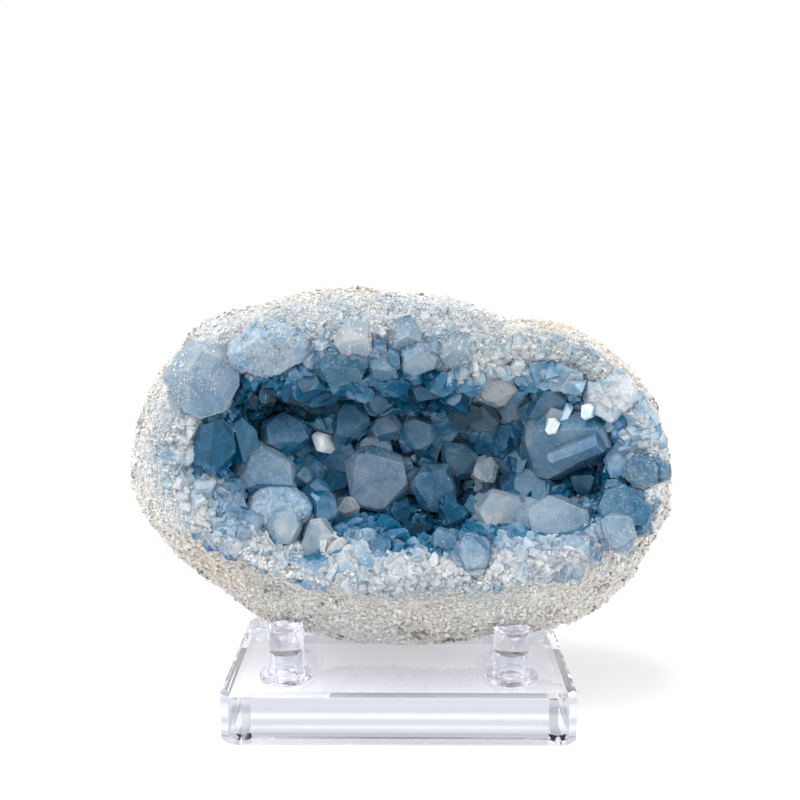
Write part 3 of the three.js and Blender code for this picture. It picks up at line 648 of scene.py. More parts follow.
def make_celestite(
    name, transmission, density, milk, spread, rise, painted_glints=0.0, saturation=1.05, shine=0.4, zoned=0.08
):
    """Celestite: the mark's red deepens the blue, its green frosts the faces, its blue turns it
    greenish and its alpha paints a pale highlight along the edges; clouds, zones and veils inside,
    and a random tone on each face that is partly painted shading of the facets. Density absorbs
    light, milk lets it spread, rise is that of the growth steps, painted_glints paints a white
    highlight on a few facets, shine is the specular level and zoned the zones' contrast."""
    material, tree, principled, output, spot = start_material(name)
    stain = attribute(tree, "stain")
    blue, frost, warm = parts(tree, stain["Color"])
    clouds, zones, veils, steps = use(tree, VEILS, Spot=spot)
    facet = attribute(tree, "facet")["Fac"]
    cloudy = eased(tree, clouds, 0.3, 0.7, 0.05, -0.11)
    zonal = eased(tree, zones, 0.2, 0.8, -zoned, zoned)
    # Each face's random tone: partly the crystal's own zoning, partly painted shading of the facets.
    deep = plus(tree, blue, cloudy, times(tree, facet, 0.12), zonal)
    colour = add(tree, "ValToRGB", {"Fac": deep})
    stops = colour.color_ramp.elements
    for depth, _ in BLUES[1:-1]:
        stops.new(depth)
    for stop, (_, code) in zip(stops, BLUES):
        stop.color = shade(code)
    colour = mixed(tree, times(tree, warm, 0.6), colour.outputs[0], shade("8f9c93"))
    grain = use(tree, GRIT, Spot=spot, Grain=0.7)
    sparkle = times(tree, frost, eased(tree, grain["Tone"], 0.55, 0.97))
    white = plus(tree, times(tree, sparkle, 1.1), times(tree, veils, 0.4))
    # Painted highlight: the few faces with the highest tone turn white by the painted_glints strength.
    white = plus(tree, white, eased(tree, facet, 0.93, 0.98, 0.0, painted_glints))
    # Painted highlight along the edges: pale towards the corners, where the clouds allow.
    edge = reckon(tree, "POWER", stain["Alpha"], 1.7)
    edge = times(tree, edge, eased(tree, clouds, 0.42, 0.62, 0.0, 0.3))
    colour = coated(tree, colour, (white, 0.0, 1.0, 0.92, "eaf0f5"))
    colour = mixed(tree, edge, colour, shade("c3d5e3"))
    colour = add(tree, "HueSaturation", {"Saturation": saturation, "Color": colour}).outputs[0]
    rough = plus(tree, eased(tree, clouds, 0.35, 0.65, 0.02, 0.09), times(tree, frost, 0.35))
    terraces = bump(tree, steps, rise, 0.0003)
    druse = bump(tree, times(tree, grain["Height"], frost), 0.8, 0.0004, Normal=terraces)
    put(tree, principled, Base_Color=colour, Roughness=rough, Normal=druse, IOR=1.62)
    put(tree, principled, Specular_IOR_Level=shine, Specular_Tint=(0.72, 0.88, 1.0, 1.0))
    put(tree, principled, Transmission_Weight=transmission)
    milky(tree, principled, milk, (0.8, 0.9, 1.0), spread)
    if density:
        inside = add(tree, "VolumeAbsorption", {"Color": shade("7fb4d6"), "Density": density})
        tree.links.new(inside.outputs[0], output.inputs["Volume"])
    return material


def make_acrylic(name, clear, hazed, painted_reflection_bands=()):
    """Clear polished acrylic: plain glass with a faint haze of fine rubbing marks, and on the
    front greyer stripes at given heights, which are painted reflections."""
    material, tree, principled, _, spot = start_material(name)
    rub = noise(tree, spot, 0.35, 5.0, 0.7)
    rough = eased(tree, rub, 0.45, 0.75, 0.0, 0.03)
    tint = mixed(tree, rub, shade(clear), shade(hazed))
    facing = along(tree, add(tree, "NewGeometry").outputs["True Normal"], "Y")
    front = eased(tree, facing, -0.6, -0.9)
    height = along(tree, spot, "Z")
    # Painted reflections: greyer stripes across the front face.
    for middle, half in painted_reflection_bands:
        away = reckon(tree, "ABSOLUTE", reckon(tree, "SUBTRACT", height, middle))
        band = times(tree, front, eased(tree, away, half, 0.2 * half))
        tint = mixed(tree, band, tint, shade("b4b9cb"))
    put(tree, principled, Base_Color=tint, Roughness=rough, IOR=1.49, Transmission_Weight=1.0)
    return material


def make_bumper():
    """Clear silicone of the pads: cloudier and softer than the acrylic, with a faint mottle."""
    material, tree, principled, _, spot = start_material("clear_bumper")
    tint = mixed(tree, noise(tree, spot, 0.6, 3.0), shade("eef0f4"), shade("e2e5ec"))
    put(tree, principled, Base_Color=tint, Roughness=0.3, IOR=1.41, Transmission_Weight=0.45)
    return material


def make_floor_paint():
    """Matt white board with the faintest mottling, a little greyer where the acrylic shows it, as
    painted shade.
    """
    material, tree, principled, _, spot = start_material("white_board")
    ray = add(tree, "LightPath").outputs
    plain = reckon(tree, "MAXIMUM", ray["Is Camera Ray"], ray["Is Diffuse Ray"])
    # Painted shade: greyer for every ray but camera and diffuse ones.
    through = mixed(tree, noise(tree, spot, 0.02), shade("cfcfd2"), shade("d1d1d4"))
    colour = mixed(tree, plain, through, shade("ededed"))
    put(tree, principled, Base_Color=colour, Roughness=0.9, Specular_IOR_Level=0.1)
    return material


RIND = make_rind_stone()
SUGAR = make_sugar_grain()
CELESTITE = make_celestite("celestite_block", 0.6, 26.0, 0.5, 0.004, 0.3, zoned=0.04)
SMALL_CELESTITE = make_celestite(
    "celestite_druse", 0.45, 0.0, 0.4, 0.0015, 0.35, painted_glints=0.4, saturation=1.0, shine=0.25
)
FROSTED_CELESTITE = make_celestite("celestite_frosted", 0.4, 0.0, 0.5, 0.003, 0.2, saturation=1.0)
# Near-white glossy celestite for the crystals that are painted highlights.
PAINTED_HIGHLIGHT_CELESTITE = make_celestite("celestite_painted_highlight", 0.0, 0.0, 0.3, 0.001, 0.1, shine=0.8, zoned=0.02)
ACRYLIC = make_acrylic("clear_acrylic", "fbfbff", "f3f4fb")
# The slab's front gets two painted reflection stripes.
SLAB_ACRYLIC = make_acrylic("slab_acrylic", "f9f9fc", "f4f5f9", [(15.8, 2.6), (7.0, 2.8)])
BUMPER = make_bumper()


# ---------------- rock and rim
def sugar_share(points, place):
    """How sugary the stone is, 0 rind to 1 sugar: it rises past the lip, with a ragged edge and
    earthy patches above on the right."""
    x, z = points[..., 0], points[..., 2]
    low = ramp(88 - z, 0, 30)
    ragged = 0.35 * swell(points, 14, 41) + 0.3 * swell(points, 5, 43) + 0.25 * swell(points, 1.6, 45)
    share = ramp(place + 1.3 * ragged, 4.7 + 0.5 * low, 6.1 + 0.7 * low)
    top_right = ramp(x, 10, 55) * ramp(z, 116, 138) * ramp(8.0 - place, 0, 0.9)
    bottom = ramp(66 - z, 0, 16) * ramp(7.4 - place, -0.2, 0.9)
    earthy = np.clip(0.8 * top_right + 0.4 * bottom, 0, 0.85) * ramp(swell(points, 7, 47), -0.6, 0.5)
    strewn = 0.75 * ramp(swell(points, 11, 49), 0.15, 0.6) * ramp(7.9 - place, 0, 0.6)
    patch = 0.6 * ramp(swell(points, 13, 55), -0.1, 0.5) * ramp(75 - z, 0, 15) * ramp(place, 3.6, 5.0)
    return 0.12 + 0.8 * np.maximum(share, patch) * (1 - np.maximum(earthy, strewn))


def warm_share(points):
    """How tan the stone is: patches, mostly above on the right and low on the left."""
    x, z = points[..., 0], points[..., 2]
    side = 0.5 * ramp(x, 0, 50) * ramp(z, 115, 135) + 0.3 * ramp(-x, 0, 60) * ramp(90 - z, 0, 20)
    return np.clip(0.15 + side + 0.4 * swell(points, 11, 51) + 0.25 * swell(points, 3, 53), 0, 1)


def rock_marks(points, place):
    """Colour marks of the stone: sugar, lightness and warmth."""
    light = np.clip(0.6 + 0.35 * swell(points, 6, 57) + 0.25 * swell(points, 2, 59), 0, 1)
    return np.stack([sugar_share(points, place), light, warm_share(points)], -1).reshape(-1, 3)


def rock_relief(points, place):
    """Millimetres that the grain stands off the smooth rock: fine grit behind, coarse broken
    chips on the rim."""
    rim, inner = ramp(place, 5.6, 6.6), ramp(place, 6.6, 7.8)
    grit = 0.45 * swell(points, 9, 11) + 0.32 * chips(points, 2.6, 13) + 0.25 * chips(points, 1.4, 17)
    broken = 1.3 * swell(points, 15, 21) + (0.5 + 0.7 * inner) * chips(points, 7.5, 23, 0.8)
    broken += (0.45 + 0.35 * inner) * chips(points, 3.2, 29) + 0.4 * chips(points, 1.6, 31)
    return (1 - rim) * grit + rim * broken


def relieved(angle, place, lift=0.0):
    """Smooth points of the rock, and the same ones with its relief, lifted by so many millimetres
    and kept clear of the pegs."""
    base = nodule(angle, place)
    points = base + outward(angle, place) * (rock_relief(base, place) + lift)[..., None]
    return base, lifted(points, place, seat_height(points[..., 0], points[..., 1]))


def sunk(angle, place, depth):
    """Points that lie so many millimetres under the smooth rock."""
    return (nodule(angle, place) - depth * outward(angle, place)).reshape(-1, 3)


def make_rock():
    """The rind: rings from the rear pole to past the lip, then a plain inner skin that closes
    behind the crystals."""
    around = 480
    outer, inner = np.linspace(0, 6.3, 186)[1:], np.linspace(6.4, LAST_PLACE, 12)[:-1]
    angle, place = grid(outer, around)
    base, skin = relieved(angle, place)
    lining = sunk(*grid(inner, around), 2.5)
    rear, floor = nodule(0, 0), nodule(0, LAST_PLACE) + [0, 2.5, 0]
    points = np.concatenate([[rear], skin.reshape(-1, 3), lining, [floor]])
    hidden = np.tile(HIDDEN_MARK, (len(lining), 1))
    marks = np.concatenate([[[0, 0.6, 0.3]], rock_marks(base, place), hidden, [[0, 0.5, 0.3]]])
    faces = skin_faces(len(outer) + len(inner), around)
    return make_piece("geode_rind", points, faces, RIND, ROCK, marks, smooth=True)


def make_rim():
    """The sugary rim: a closed band whose face carries the chips and whose back lies inside the
    rock."""
    around = 780
    front, back = np.linspace(5.7, 8.5, 104), np.linspace(8.5, 5.7, 9)
    angle, place = grid(front, around)
    tucked = -1.6 * ramp(6.15 - front, 0, 0.45) - 0.8 * ramp(front, 8.2, 8.5)
    base, skin = relieved(angle, place, tucked[:, None])
    rear = sunk(*grid(back, around), 2.6)
    points = np.concatenate([skin.reshape(-1, 3), rear])
    marks = np.concatenate([rock_marks(base, place), np.tile(HIDDEN_MARK, (len(rear), 1))])
    faces = [ribbon_faces(len(front) + len(back), around, closed_rows=True)]
    return make_piece("sugary_rim", points, faces, RIND, ROCK, marks)


# ---------------- crystals
def block_planes(half, length, flat, seed, sides=6, caps=3):
    """Planes (normal, distance) of a block crystal, tip at the origin, axis +Z: uneven sides,
    slanting caps, a leaning end and a foot."""
    i, k = np.arange(sides), np.arange(caps)
    side = TURN * (i + SIDE_TURN * (chance(seed + i) - 0.5)) / sides
    cap = TURN * (k + 0.5 + CAP_TURN * (chance(seed + 40 + k) - 0.5)) / caps
    tilt = CAP_TILT + CAP_SPREAD * chance(seed + 60 + k)
    lean = END_LEAN * (chance(seed + 80) - 0.5)
    loss = SIDE_LOSS * chance(seed + 20 + i)

    def reach(angle):
        return np.hypot(half[0] * np.cos(angle), half[1] * np.sin(angle))

    normals = [
        np.stack([np.cos(side), np.sin(side), 0 * side], -1),
        np.stack([np.sin(tilt) * np.cos(cap), np.sin(tilt) * np.sin(cap), np.cos(tilt)], -1),
        np.array([[lean, lean, 1]]) / math.sqrt(1 + 2 * lean * lean),
        [[0, 0, -1]],
    ]
    distances = [reach(side) * (1 - loss), np.sin(tilt) * flat * reach(cap), [0.0, length]]
    return np.concatenate(normals), np.concatenate(distances)


def enclosed(normals, distances):
    """Corners and faces of the convex body inside the planes: every three planes are met, and the
    points inside all of them kept."""
    trio = np.array(list(itertools.combinations(range(len(normals)), 3)))
    matrix = normals[trio]
    solid = np.abs(np.linalg.det(matrix)) > 1e-4
    points = np.linalg.solve(matrix[solid], distances[trio[solid]][..., None])[..., 0]
    points = points[(points @ normals.T < distances + 1e-6).all(1)]
    _, first = np.unique(np.round(points, 3), axis=0, return_index=True)
    points = points[np.sort(first)]
    faces = []
    for normal, distance in zip(normals, distances):
        on = np.flatnonzero(np.abs(points @ normal - distance) < 1e-3)
        if len(on) > 2:
            spokes = points[on] - points[on].mean(0)
            start = unit(spokes[0])
            turn = np.arctan2(spokes @ np.cross(normal, start), spokes @ start)
            faces.append(on[np.argsort(turn)])
    return points, faces


def nicked(normals, distances, seed, count):
    """The block's planes and a few more, each of which trims one of its upper corners by a few
    hundredths of its width."""
    corners, _ = enclosed(normals, distances)
    upper = corners[corners[:, 2] > -0.45 * distances[-1]]
    k = np.arange(count)
    pick = (chance(seed + 310 + k) * len(upper)).astype(int)
    way = unit(upper[pick] - [0, 0, 0.5 * corners[:, 2].min()])
    aside = np.stack([chance(seed + more + k) for more in (320, 330, 340)], -1) - 0.5
    way = unit(way + 0.5 * aside)
    trim = np.ptp(corners[:, 0]) / 2 * (0.06 + 0.16 * chance(seed + 350 + k))
    reach = (corners @ way.T).max(0) - trim
    return np.concatenate([normals, way]), np.concatenate([distances, reach])


def trimmed(normals, distances, seed, nicks=5):
    """Corners and faces of the nicked block. A nick is left out while some edge lacks its twin,
    run the other way."""
    corners, sides = enclosed(*nicked(normals, distances, seed, nicks))
    edges = {(a, b) for side in sides for a, b in zip(side.tolist(), np.roll(side, -1).tolist())}
    if nicks and any((b, a) not in edges for a, b in edges):
        return trimmed(normals, distances, seed, nicks - 1)
    return corners, sides


def bordered(corners, sides, width):
    """A block's faces, each parted into a middle and a narrow border: gives points, faces and 1
    at the old corners, 0 inside."""
    points, middles, borders, start = [corners], [], [], len(corners)
    for side in sides:
        middle = corners[side].mean(0)
        spokes = corners[side] - middle
        shrink = 1 - min(0.5, width / np.linalg.norm(spokes, axis=1).mean())
        points.append(middle + shrink * spokes)
        inner = start + np.arange(len(side))
        middles.append(inner)
        borders += list(np.stack([side, np.roll(side, -1), np.roll(inner, -1), inner], -1))
        start += len(side)
    points = np.concatenate(points)
    return points, middles + borders, (np.arange(start) < len(corners)).astype(float)


def axes(axis, roll):
    """Side, up and axis directions of crystals that point along axis and are turned by roll about
    it."""
    side = np.cross([0.0, 0.0, 1.0], axis)
    side /= np.maximum(np.linalg.norm(side, axis=-1, keepdims=True), 1e-9)
    up = np.cross(axis, side)
    cos, sin = np.cos(roll)[..., None], np.sin(roll)[..., None]
    return np.stack([side * cos + up * sin, up * cos - side * sin, axis], -2)


def by_sides(faces):
    """Faces of mixed size as one array for each number of sides."""
    return [np.array([f for f in faces if len(f) == n]) for n in sorted({len(f) for f in faces})]


def crystal_frame(yaw, pitch, roll):
    """Side, up and axis of one crystal from its yaw to the right, its pitch up and its roll, in
    degrees."""
    right, up = math.radians(yaw), math.radians(pitch)
    axis = np.array([math.sin(right) * math.cos(up), -math.cos(right) * math.cos(up), math.sin(up)])
    return axes(axis, np.float64(math.radians(roll)))


def rimward(points):
    """0 in the hollow to 1 out on the rim: how far a point lies from the hollow's middle,
    measured in the mouth's radius at its angle."""
    x, z = points[..., 0] - NODULE["x"], points[..., 2] - NODULE["z"]
    return ramp(np.hypot(x, z) / radius_at(MOUTH, np.arctan2(z, x)), 0.98, 1.3)


def make_great_crystals(name, material, painted_glints):
    """The clear crystals that show as single blocks, each cut by its own planes, with smaller
    ones grown beside the larger in the hollow, on the same axes. With painted_glints, only the four
    pale crystals that stand as painted highlights."""
    points, faces, marks, start = [], [], [], 0
    for i, row in enumerate(CRYSTALS):
        kind, tip, half, length, yaw, pitch, roll, flat, blue, frost, warm = row
        if (kind in PAINTED_GLINTS) != painted_glints or frost > FROSTED:
            continue
        turn = crystal_frame(yaw, pitch, roll)
        blocks = [(np.zeros(3), half, length, 100 * i, 0.0)]
        for k in range(SATELLITES if min(half) > 4 else 0):
            seed = 100 * i + 50 + 7 * k
            way, part = TURN * (k + chance(seed)) / SATELLITES, 0.3 + 0.3 * chance(seed + 1)
            out, back = 0.95 - 0.5 * part, -length * (0.15 + 0.4 * chance(seed + 2))
            aside = np.array([out * half[0] * math.cos(way), out * half[1] * math.sin(way), back])
            if rimward(aside @ turn + tip) < 0.35:
                size = (part * half[0] + 1, part * half[1] + 1)
                tint = 0.12 * (chance(seed + 3) - 0.5)
                blocks.append((aside, size, length * 0.7, seed + 3, tint))
        for aside, size, deep, seed, tint in blocks:
            planes = block_planes(size, deep, flat, seed)
            # edge is 1 at the old corners and carries the painted edge highlight.
            corners, sides, edge = bordered(*trimmed(*planes, seed), BORDER)
            points.append((corners + aside) @ turn + tip)
            faces += [start + side for side in sides]
            start += len(corners)
            outer = rimward(points[-1])
            uneven = 0.12 * (chance(seed + 400 + np.arange(len(corners))) - 0.5)
            depth = blue + tint - 0.05 + 0.18 * ramp(-corners[:, 2] / deep, 0, 0.8) + uneven
            icy = np.clip(frost + 0.7 * outer, 0, 0.75)
            marks.append(np.stack([depth - 0.12 * outer, icy, warm + 0 * depth, edge], -1))
    points, marks = np.concatenate(points), np.concatenate(marks)
    return make_piece(name, points, by_sides(faces), material, CRUST, marks, faceted=True)


def soft_block(ways, normals, distances, power):
    """Skin and normal of a softly edged block along the ways from its middle: it lies where the
    planes' pulls, each to a power, add up to one."""
    middle = np.array([0, 0, -0.5 * distances[-1]])
    pull = np.maximum(ways @ (normals / (distances - normals @ middle)[:, None]).T, 1e-6)
    strength = pull**power
    reach = np.sum(strength, -1) ** (-1 / power)
    return middle + ways * reach[:, None], unit(strength @ normals)


def make_frosted_crystals():
    """The crystals coated with sugar, as soft blocks on a grid of directions from pole to pole,
    with chips standing on their skin in patches."""
    rows, around = 60, 104
    turn_by, polar = grid(np.linspace(0, math.pi, rows + 2)[1:-1], around)
    across = np.sin(polar)
    ways = np.stack([across * np.cos(turn_by), across * np.sin(turn_by), np.cos(polar)], -1)
    ways = np.concatenate([[[0, 0, 1.0]], ways.reshape(-1, 3), [[0, 0, -1.0]]])
    points, marks = [], []
    for i, (_, tip, half, length, yaw, pitch, roll, flat, blue, frost, warm) in enumerate(CRYSTALS):
        if frost <= FROSTED:
            continue
        turn = crystal_frame(yaw, pitch, roll)
        skin, facing = soft_block(ways, *block_planes(half, length, flat, 100 * i), power=34)
        skin = skin @ turn + tip
        patch = ramp(swell(skin, 7, 97) + frost - 0.7, -0.5, 0.4)
        rough = 1.1 * chips(skin, 6.5, 91) + 0.45 * chips(skin, 2.6, 93) + 0.16 * chips(skin, 1.1, 95)
        points.append(skin + (facing @ turn) * (rough * (0.25 + 0.75 * patch) * frost)[:, None])
        marks.append(np.stack([blue + 0.16 - 0.14 * patch, 0.65 * frost * patch, warm + 0 * patch], -1))
    shift = [k * len(ways) for k in range(len(points))]
    faces = [np.concatenate([k + side[:, ::-1] for k in shift]) for side in skin_faces(rows, around)]
    points, marks = np.concatenate(points), np.concatenate(marks)
    return make_piece("frosted_crystals", points, faces, FROSTED_CELESTITE, CRUST, marks)


def make_crystal_sugar():
    """Sugar on the great crystals: grains strewn over their soft blocks, thick on the frosted
    ones, in patches and round the feet of the others."""
    rng = np.random.default_rng(7)
    spots, facings, sizes, sugars = [], [], [], []
    for i, (_, tip, half, length, yaw, pitch, roll, flat, _, frost, warm) in enumerate(CRYSTALS):
        outer = ramp(-tip[1], 14, 30)
        count = int((half[0] + half[1]) ** 2 * (0.6 + 2.6 * frost) * (0.25 + 0.75 * outer))
        ways = unit(rng.normal(size=(count, 3)))
        turn = crystal_frame(yaw, pitch, roll)
        local, facing = soft_block(ways, *block_planes(half, length, flat, 100 * i), power=30)
        skin = local @ turn + tip
        foot = ramp(-local[:, 2] / length, 0.1, 0.6)
        rim = rimward(skin)
        drift = ramp(swell(skin, 4, 98) + 0.6 * rim, -0.2, 0.6)
        liking = (0.5 * frost**2 + 0.5 * rim) * drift + 0.5 * foot * outer + 0.03
        kept = rng.random(count) < liking
        spots.append(skin[kept])
        facings.append((facing @ turn)[kept])
        sizes.append(0.1 + (0.1 + 0.2 * outer * rim[kept]) * rng.random(kept.sum()) ** 2)
        sugars.append(np.clip(0.75 + 0.2 * rng.random(kept.sum()) - 0.3 * warm, 0, 1))
    spot, facing, size, sugar = (np.concatenate(part) for part in (spots, facings, sizes, sugars))
    axis = unit(facing + 0.9 * (rng.random((len(spot), 3)) - 0.5))
    points, faces, owner = strewn_grains(rng, size, axis, spot + 0.2 * facing * size[:, None])
    marks = np.stack([sugar, rng.random(len(spot)), 0.3 * rng.random(len(spot))], -1)[owner]
    return make_piece("crystal_sugar", points, faces, SUGAR, CRUST, marks)


def scatter(count, low, high, weight, seed):
    """Angles and places strewn over the rock's front: cells are picked by area times weight, and
    a point is dropped in each."""
    columns, rows = 360, 160
    rng = np.random.default_rng(seed)
    angle, place = np.linspace(0, TURN, columns + 1), np.linspace(low, high, rows + 1)
    net = nodule(angle[None, :], place[:, None])
    across, onward = net[:-1, 1:] - net[:-1, :-1], net[1:, :-1] - net[:-1, :-1]
    area = np.linalg.norm(np.cross(across, onward), axis=-1)
    share = area * weight(angle[None, :-1], (place[:-1] + place[1:])[:, None] / 2)
    cell = rng.choice(share.size, count, p=share.ravel() / share.sum())
    row, column = np.divmod(cell, columns)
    angle = (column + rng.random(count)) / columns * TURN
    return angle, low + (row + rng.random(count)) / rows * (high - low), rng


def copies(shapes, pick, turn, scale, centre):
    """Copies of a few convex shapes at once: each takes its picked shape, stretched, turned and
    moved. Gives points, faces and each point's copy number."""
    points, faces, owner, start = [], [], [], 0
    for k, (corners, sides) in enumerate(shapes):
        mine = np.flatnonzero(pick == k)
        moved = np.einsum("nvi,nij->nvj", corners[None] * scale[mine][:, None], turn[mine])
        points.append((moved + centre[mine][:, None]).reshape(-1, 3))
        owner.append(np.repeat(mine, len(corners)))
        for block in by_sides(sides):
            step = start + np.arange(len(mine))[:, None, None] * len(corners)
            faces.append((block[None] + step).reshape(-1, block.shape[1]))
        start += len(mine) * len(corners)
    return np.concatenate(points), faces, np.concatenate(owner)


def painted_shade_depth(points):
    """Painted shade: how much deeper the blue is in the hollow's dark pools, where shade falls: the
    strongest of a few soft ellipses, each fading from its middle."""
    x, z = points[..., 0, None], points[..., 2, None]
    middle_x, middle_z, wide, high, depth = np.array(SHADE_POOLS).T
    away = np.hypot((x - middle_x) / wide, (z - middle_z) / high)
    return np.max(depth * ramp(1.25 - away, 0, 0.6), axis=-1)


def earthy_crystals(points):
    """How greenish-cream the small crystals are: only in a patch under the rim, above on the right."""
    x, z, wide, high = EARTHY
    return ramp(1.3 - np.hypot((points[..., 0] - x) / wide, (points[..., 2] - z) / high), 0, 0.7)


def wall_size(place):
    """Half width of a wall crystal in millimetres: small by the crest, blocks inside the mouth."""
    places = [5.4, 6.2, 7.0, 7.6, 8.1, 8.6, 9.5, 12.0]
    return np.interp(place, places, [0.5, 0.7, 1.15, 1.7, 2.1, 2.6, 3.0, 3.2])


def wall_depth(angle, place):
    """How far in a wall crystal counts as: its place, less low on the left, where the pale rim
    reaches deeper."""
    spot = nodule(angle, place)
    return place - 1.2 * ramp(-spot[..., 0], 12, 40) * ramp(82 - spot[..., 2], 0, 14)


def wall_liking(angle, place):
    """Where the wall crystals gather: thinner towards the rim, and evenly by their size."""
    deep = wall_depth(angle, place)
    share = 0.1 * (deep > 6.1) + 0.4 * ramp(deep, 6.2, 6.9) + 0.5 * ramp(deep, 6.9, 8.0)
    return share / wall_size(deep) ** 1.8


def clear_of_great(points, size):
    """True where a small crystal stands clear of every great one: outside the room that its own
    sides enclose, from its middle on outwards."""
    in_front = 45
    clear = np.ones(len(points), bool)
    for _, tip, half, length, yaw, pitch, roll, *_ in CRYSTALS:
        x, y, z = ((points - tip) @ crystal_frame(yaw, pitch, roll).T).T
        beside = np.hypot(x / (half[0] + 0.4 * size), y / (half[1] + 0.4 * size))
        clear &= (beside > 1) | (z < -0.55 * length - size) | (z > in_front)
    return clear


def wall_shape(k):
    """One of the small crystals' shapes, a unit wide, with five to seven sides and two to four
    caps."""
    half, length, flat = (1.0, 0.85), 2.2, 0.55 + 0.3 * chance(k)
    return enclosed(*block_planes(half, length, flat, 7000 + 100 * k, 5 + k % 3, 2 + k % 3))


def make_wall_crystals(name, count, seed):
    """Smaller crystals from the rim's inner slope to the hollow's floor: two dozen shapes, copied
    at random sizes and leanings, deeper blue further in, partly as painted shade of the hollow."""
    angle, place, rng = scatter(count, 6.1, 11.9, wall_liking, seed)
    deep = wall_depth(angle, place)
    size = wall_size(deep) * (0.4 + 1.6 * rng.random(count) ** 3)
    normal, base = outward(angle, place), nodule(angle, place)
    inside, outer = ramp(deep + 0.25 * swell(base, 12, 63), 7.7, 9.0), 1 - ramp(deep, 6.3, 7.5)
    axis = normal + (1.7 - 0.7 * inside[:, None]) * (rng.random((count, 3)) - 0.5) + [0, -0.25, 0]
    axis = unit(axis)
    stand = (0.9 * inside + 0.6 * rng.random(count) - 0.4) * size
    lift = (1 - inside) * rock_relief(base, place) + 0.3 + 1.8 * ramp(place, 7.6, 8.4)
    centre = base + normal * (lift + stand)[:, None]
    spread = 0.55 + np.array([0.7, 0.8, 0.8]) * rng.random((count, 3)) + [0.1, 0, 0.3]
    pick = np.where(clear_of_great(centre, size), rng.integers(0, WALL_SHAPES, count), -1)
    shapes = [wall_shape(k) for k in range(WALL_SHAPES)]
    turn = axes(axis, TURN * rng.random(count))
    points, faces, owner = copies(shapes, pick, turn, size[:, None] * spread, centre)
    # Painted shade of the pools: deeper blue and less frost.
    painted_shade = painted_shade_depth(base)
    drift = 0.16 * swell(base, 9, 65) + 0.08 * swell(base, 3.5, 67)
    uneven = drift * (0.5 + 0.5 * inside) + 0.16 * (rng.random(count) - 0.5)
    earthy = (1 - inside) * ramp(base[:, 0], 10, 45) * ramp(base[:, 2], 118, 134)
    crest = ramp(-base[:, 1], 31, 38)
    # Deeper blue further in is partly the crystals' own colour and partly painted shade.
    blue = 0.1 + 0.53 * inside + painted_shade + uneven * (1 - painted_shade)
    blue *= (1 - 0.7 * outer) * (1 - 0.7 * earthy) * (1 - 0.7 * crest)
    frost = 0.45 - 0.45 * inside + 0.3 * np.maximum(outer, crest) + 0.5 * (rng.random(count) - 0.5)
    warm = earthy_crystals(base) * (0.4 + 0.6 * rng.random(count))
    warm += 0.5 * outer * (rng.random(count) < 0.3) + 0.5 * earthy
    marks = np.stack([blue, np.clip(frost - painted_shade, 0, 1), np.clip(warm, 0, 1)], -1)[owner]
    height = np.sum((points - centre[owner]) * axis[owner], -1) / size[owner]
    marks[:, 0] = np.clip(marks[:, 0] - 0.1 * height, 0, 1)
    return make_piece(name, points, faces, SMALL_CELESTITE, CRUST, marks, faceted=True)


def make_bed():
    """The deep-blue bed that all the crystals stand on: a closed skin from the rim's crest to the
    hollow's floor, broken into chips."""
    around = 260
    front, back = (np.linspace(7.7, LAST_PLACE, rows)[:-1] for rows in (70, 14))
    angle, place = grid(np.concatenate([back[::-1], front]), around)
    base, normal = nodule(angle, place), outward(angle, place)
    rough = 1.9 + 1.5 * chips(base, 6.0, 71) + 0.9 * chips(base, 2.6, 73)
    hidden = np.arange(len(place))[:, None] < len(back)
    lift = np.where(hidden, -1.6, rough * ramp(place, 7.65, 8.1) - 0.6)
    skin, floor = base + normal * lift[..., None], nodule(0, LAST_PLACE)
    points = np.concatenate([[floor + [0, 1.6, 0]], skin.reshape(-1, 3), [floor - [0, 1.5, 0]]])
    inside = np.concatenate([[1.0], ramp(place, 7.7, 8.8).ravel(), [1.0]])
    # Deeper blue further in, partly painted shade, and the pools' painted shade.
    blue = np.clip(0.4 + 0.42 * inside + painted_shade_depth(points), 0, 1)
    marks = np.stack([blue, 0.4 - 0.38 * inside, 0 * inside], -1)
    faces = skin_faces(len(place), around)
    return make_piece("crystal_bed", points, faces, SMALL_CELESTITE, CRUST, marks)


# ---------------- grains
def grain_shapes():
    """Four chips: a cube, a slab and two wedges with skewed corners, a dozen triangles at most."""
    cube = np.array([(x, y, z) for z in (-1, 1) for y in (-1, 1) for x in (-1, 1)], float)
    rings = ("0231", "4576", "0154", "2673", "0462", "1375")
    faces = [np.array([int(corner) for corner in ring]) for ring in rings]
    skew = 0.55 * (np.stack([chance(np.arange(8) + 8 * k) for k in (3, 5, 9)], -1) - 0.5)
    point, wedge = cube.copy(), cube.copy()
    point[4:, :2] *= 0.35
    wedge[4:, 0] *= 0.15
    slab = cube * (1, 0.75, 0.6) - skew
    return [(chip, faces) for chip in (cube * 0.8 + skew, point + 0.6 * skew, wedge - 0.5 * skew, slab)]


def strewn_grains(rng, size, axis, centre):
    """Chips of given sizes on given axes: each is stretched and turned at random."""
    count = len(size)
    scale = size[:, None] * (0.65 + 0.7 * rng.random((count, 3)))
    pick = rng.integers(0, 4, count)
    return copies(grain_shapes(), pick, axes(axis, TURN * rng.random(count)), scale, centre)


